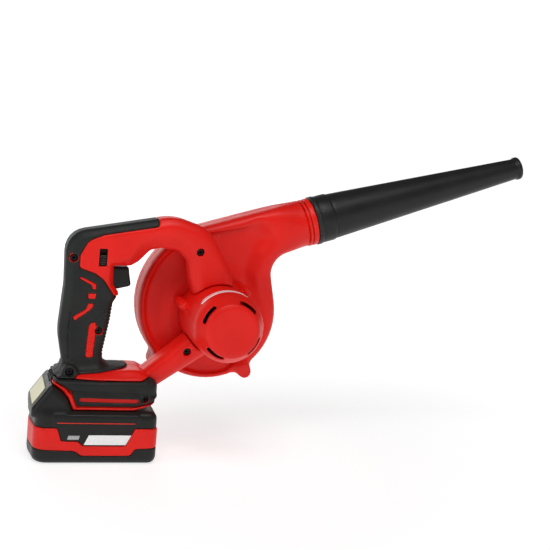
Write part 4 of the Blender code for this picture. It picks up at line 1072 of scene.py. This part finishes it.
def housing_field(p):
    """A cup with a bevelled closed end, three screw posts and four curved vents, hollow."""
    x, y, z = p
    axis = np.hypot(x - MOTOR_X, z - MOTOR_Z)
    turn = np.degrees(np.arctan2(z - MOTOR_Z, x - MOTOR_X))
    side = axis - housing_radius(y)
    solid = bevelled(side, HOUSING_FACE - y, *HOUSING_BEVEL, 3.0)
    solid = np.maximum(solid, y - HOUSING_END)
    for angle in POSTS:
        post = around_motor(POST_CIRCLE, angle)
        solid = either(solid, rod(p, *post, 4.8, -14.0, HOUSING_END, 2.5), 4.0)
        solid = either(solid, rod(p, *post, 3.6, -18.9, 10.0, 2.0), 1.0)
    inner = bevelled(side + HOUSING_WALL, HOUSING_FACE + HOUSING_WALL - y, *HOUSING_BEVEL, FINE_EDGE)
    solid = without(solid, inner)
    for vent in VENTS:
        swing = (turn - vent + 180) % 360 - 180
        arc = np.radians(np.maximum(np.abs(swing) - VENT_SPAN, 0)) * axis
        slot = np.hypot(arc, axis - VENT_CIRCLE) - 1.4
        solid = without(solid, np.maximum(slot, y + 52.0), 1.0)
    disc_line = np.hypot(axis - 24.2, y + 73.6) - 0.7
    solid = without(solid, disc_line, 1.0)
    for angle in POSTS:
        solid = without(solid, rod(p, *around_motor(POST_CIRCLE, angle), 1.8, -12, 30))
    return solid


def build_housing_marks():
    """Plain stripes round the housing, where it carries print."""
    for name, y_low, y_high, start, end in (
        ("wide", -50.0, -46.5, 60, 142), ("thin", -44.0, -42.8, 66, 138),
    ):
        rungs = []
        for step in range(41):
            angle = start + (end - start) * step / 40
            spoke = Vector((math.cos(math.radians(angle)), 0, math.sin(math.radians(angle))))
            ends = [Vector((MOTOR_X, y, MOTOR_Z)) + spoke * housing_radius(y) for y in (y_low, y_high)]
            rungs.append((*ends, spoke))
        piece(ribbon(f"housing_stripe_{name}", rungs, 0.5), "blower", "red", "white_print")


def build_motor_housing():
    build_housing_marks()
    mould("motor_housing", housing_field, (70, -76, 94), (160, 22, 186), 0.9, "blower", "red")


# ---- nozzle and controls

# The nozzle's section, as (radius, distance along the duct) from the socket's rear, out and back in
NOZZLE_PROFILE = [
    (25.2, -2.6), (25.6, -2.2), (25.6, 1.8), (25.4, 2.2), (24.7, 2.4), (24.5, 2.9), (24.7, 3.3),
    (24.9, 3.8), (24.9, 15.6), (24.7, 16.4), (24.0, 16.9), (23.7, 17.4), (23.9, 18.0), (23.8, 21.0),
    (11.3, 234.0), (11.3, 236.2), (11.7, 236.8), (12.2, 237.2), (12.4, 237.8), (12.4, 239.8),
    (12.2, 240.6), (11.6, 241.0), (10.2, 241.0), (9.6, 240.7), (9.4, 240.2), (9.4, 236.0),
    (21.6, 29.0), (21.9, 28.0), (21.9, -2.2), (22.3, -2.6),
]


def turned(name, profile, sides, start=0.0, end=360.0):
    """A profile of (radius, distance) points turned about the duct's axis, wholly or in part."""
    origin = Matrix.Translation(Vector((DUCT_X, DUCT_Y, DUCT_Z)) * MM)
    place = origin @ Matrix.Rotation(math.pi / 2 - TILT, 4, "Y")
    closed = end - start == 360.0
    spokes = sides if closed else sides + 1
    points = []
    for radius, distance in profile:
        for side in range(spokes):
            angle = math.radians(start + (end - start) * side / sides)
            spoke = Vector((radius * math.cos(angle), radius * math.sin(angle), distance)) * MM
            points.append(place @ spoke)
    count = len(profile)
    faces = []
    for ring in range(count):
        here = ring * spokes
        after = (ring + 1) % count * spokes
        for side in range(sides):
            along = (side + 1) % spokes
            faces.append((here + side, here + along, after + along, after + side))
    if not closed:
        faces.append([ring * spokes for ring in range(count)])
        faces.append([ring * spokes + sides for ring in range(count)][::-1])
    form = mesh_object(name, points, faces)
    face_outward(form)
    form.data.set_sharp_from_angle(angle=math.radians(50))
    return form


def build_nozzle():
    profile = []
    for (r0, s0), (r1, s1) in zip(NOZZLE_PROFILE, NOZZLE_PROFILE[1:] + NOZZLE_PROFILE[:1]):
        pieces = max(1, round(abs(s1 - s0) / 6))
        profile += [(r0 + (r1 - r0) * i / pieces, s0 + (s1 - s0) * i / pieces) for i in range(pieces)]
    stand_in(turned("nozzle_form", profile, 144), "nozzle", "nozzle", "black")


TRIGGER = rounded([
    (3, 186.5, 0), (23, 186.5, 1), (24.3, 178, 14), (26.3, 168.5, 3), (13, 165, 2),
    (3, 168, 0),
])


def trigger_field(p):
    """The trigger, with a pocket that its spring can go into."""
    x, y, z = p
    solid = both(outline_distance(TRIGGER, x, z), np.abs(y) - TRIGGER_HALF, 3.0)
    pocket = np.maximum(np.hypot(y, z - TRIGGER_SPRING_Z) - 3.5, x - 10.4)
    return without(solid, pocket)


def selector_field(p):
    """The bar with ridged ends, and two black sheets beside it: painted shade that darkens the slot in
    place of the shaded hollow inside the shell.
    """
    x, y, z = p
    side = np.abs(y)
    rise = np.abs(z - SELECTOR_Z)
    bar = both(both(np.abs(x + 3.15) - 3.35, rise - 5.1, 1.0), side - 16.5, 1.5)
    ridges = 0.5 * np.cos(z * 2 * math.pi / 2.6) * (side > 14) * (rise < 4)
    # Black sheets behind the slot: painted shade where the shell's hollow inside would show through
    shade_sheet = np.maximum(np.abs(z - 197.0) - 9.3, np.abs(side - 8.0) - 0.8)
    return np.minimum(bar + ridges, both(np.abs(x + 3.2) - 5.5, shade_sheet))


def build_controls():
    mould("trigger", trigger_field, (1, -9.5, 163), (28, 9.5, 188), 0.45, "trigger", "black")
    stand_in(
        moulded("selector_form", selector_field, (-9.5, -18, 185), (3, 18, 207.5), 0.4),
        "selector_bar", "selector", "black",
    )


# ---- screws

def screw_field(p, head, depth, shank, reach):
    """A pan head with a cross recess on a threaded shank; the head's face is at y = 0."""
    x, y, z = p
    wide, high = np.abs(x), np.abs(z)
    axis = np.hypot(x, z)
    cap = both(axis - head, np.abs(y - depth / 2) - depth / 2, 1.0)
    turn = np.arctan2(z, x) / (2 * math.pi)
    thread = shank - 0.25 + 0.25 * np.abs(((y / 1.3 + turn) % 1) * 2 - 1)
    rod_field = np.maximum(axis - thread, np.maximum(depth * 0.5 - y, y - reach + (axis * 0.8)))
    cross = np.minimum(np.maximum(wide - 0.55, high - 1.9), np.maximum(high - 0.55, wide - 1.9))
    return without(np.minimum(cap, rod_field), np.maximum(cross + 0.25 * y, y - 1.7), 0.3)


def build_screw(node, head, depth, shank):
    """A screw along +Y or -Y in the place of its CAD node, by that node's box."""
    low, high = (Vector(corner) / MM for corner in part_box(node))
    reach = high.y - low.y
    middle = (low + high) / 2
    mesh = moulded(
        f"{node}_form", lambda p: screw_field(p, head, depth, shank, reach),
        (-head - 0.6, -0.6, -head - 0.6), (head + 0.6, reach + 0.6, head + 0.6), 0.28,
    )
    backwards = not node.startswith("handle")
    turn = Matrix.Rotation(math.pi if backwards else 0.0, 4, "Z")
    start = Vector((middle.x, high.y if backwards else low.y, middle.z)) * MM
    mesh.data.transform(Matrix.Translation(start) @ turn)
    stand_in(mesh, node, "blower", "dark")


def build_screws():
    for name, count, head, depth, shank in SCREWS:
        for number in range(1, count + 1):
            build_screw(f"{name}_{number}", head, depth, shank)


# ---- the remaining CAD nodes

def dress_nodes():
    """Rounded edges and the right finish on the CAD nodes that stay."""
    slots = {part["node"]: part["material_slot"] for part in frame["record"]["subparts"]}
    for name, node in frame["nodes"].items():
        if node.hide_render:
            continue
        slot = slots[name]
        node.data.materials.clear()
        node.data.materials.append(MATERIALS[slot])
        node.data.shade_smooth()
        bevel = node.modifiers.new("edges", "BEVEL")
        bevel.width = 0.15 * MM
        bevel.segments = 2
        bevel.limit_method = "ANGLE"
        bevel.angle_limit = math.radians(35)
        bevel.harden_normals = True


# ---- stage, lights and camera

def stage_object(name, make, **sizes):
    """An object from one of bmesh's shapes."""
    work = bmesh.new()
    make(work, **sizes)
    mesh = bpy.data.meshes.new(name)
    work.to_mesh(mesh)
    work.free()
    return bpy.data.objects.new(name, mesh)


def build_stage():
    """A pale floor that fades into an even white backdrop, which lights nothing."""
    floor = stage_object("floor", bmesh.ops.create_grid, x_segments=1, y_segments=1, size=6.0)
    s = Shading("pale_floor")
    s.feed("Base Color", s.mixed(s.noise(300.0), (0.46, 0.46, 0.46), (0.48, 0.48, 0.48)))
    s.feed("Roughness", 0.7)
    s.feed("Emission Color", s.mixed(s.noise(300.0), (0.98, 0.98, 0.98), (1.0, 1.0, 1.0)))
    away = s.nodes.new("ShaderNodeVectorMath")
    away.operation = "LENGTH"
    s.links.new(s.place, away.inputs[0])
    s.feed("Emission Strength", s.remap(away.outputs["Value"], 0.3, 1.2, 0.70, 1.04))
    floor.data.materials.append(s.material)
    backdrop = stage_object(
        "backdrop", bmesh.ops.create_uvsphere, u_segments=48, v_segments=24, radius=5.5,
    )
    s = Shading("backdrop")
    s.feed("Base Color", s.mixed(s.noise(500.0), (0.0, 0.0, 0.0), (0.01, 0.01, 0.01)))
    s.feed("Emission Color", s.mixed(s.noise(500.0), (1.0, 1.0, 1.0), (0.98, 0.98, 0.98)))
    s.feed("Emission Strength", 1.0)
    backdrop.data.materials.append(s.material)
    backdrop.visible_diffuse = False
    backdrop.visible_glossy = False
    backdrop.visible_shadow = False
    for obj in (floor, backdrop):
        bpy.context.scene.collection.objects.link(obj)


def build_light(name, place, size, power):
    data = bpy.data.lights.new(name, "AREA")
    data.shape = "RECTANGLE"
    data.size, data.size_y = size
    data.energy = power
    light = bpy.data.objects.new(name, data)
    light.location = place
    aim = Vector(LIGHT_TARGET) - Vector(place)
    light.rotation_euler = aim.to_track_quat("-Z", "Y").to_euler()
    light.visible_camera = False
    bpy.context.scene.collection.objects.link(light)


def build_lights():
    world = bpy.data.worlds.new("studio")
    world.use_nodes = True
    background = world.node_tree.nodes["Background"]
    background.inputs["Color"].default_value = (1.0, 1.0, 1.0, 1.0)
    background.inputs["Strength"].default_value = 0.10
    bpy.context.scene.world = world
    for light in LIGHTS:
        build_light(*light)


def build_camera():
    """The photograph's angle: from the right, slightly behind and above, with a little roll."""
    azimuth, drop, roll = (math.radians(angle) for angle in (CAMERA_AZIMUTH, CAMERA_DROP, CAMERA_ROLL))
    ahead = Vector((
        math.cos(drop) * math.sin(azimuth), math.cos(drop) * math.cos(azimuth), -math.sin(drop),
    ))
    level = Vector((math.cos(azimuth), -math.sin(azimuth), 0))
    up = level.cross(ahead)
    right = math.cos(roll) * level + math.sin(roll) * up
    upright = math.cos(roll) * up - math.sin(roll) * level
    data = bpy.data.cameras.new("camera")
    data.sensor_width = 36.0
    data.lens = CAMERA_LENS
    camera = bpy.data.objects.new("camera", data)
    turn = Matrix((right, upright, -ahead)).transposed().to_4x4()
    camera.matrix_world = Matrix.Translation(CAMERA_PLACE) @ turn
    bpy.context.scene.collection.objects.link(camera)
    bpy.context.scene.camera = camera


bpy.context.scene.view_settings.view_transform = "Standard"
build_handle()
build_battery()
build_casing()
build_motor_housing()
build_nozzle()
build_controls()
build_screws()
dress_nodes()
build_stage()
build_lights()
build_camera()
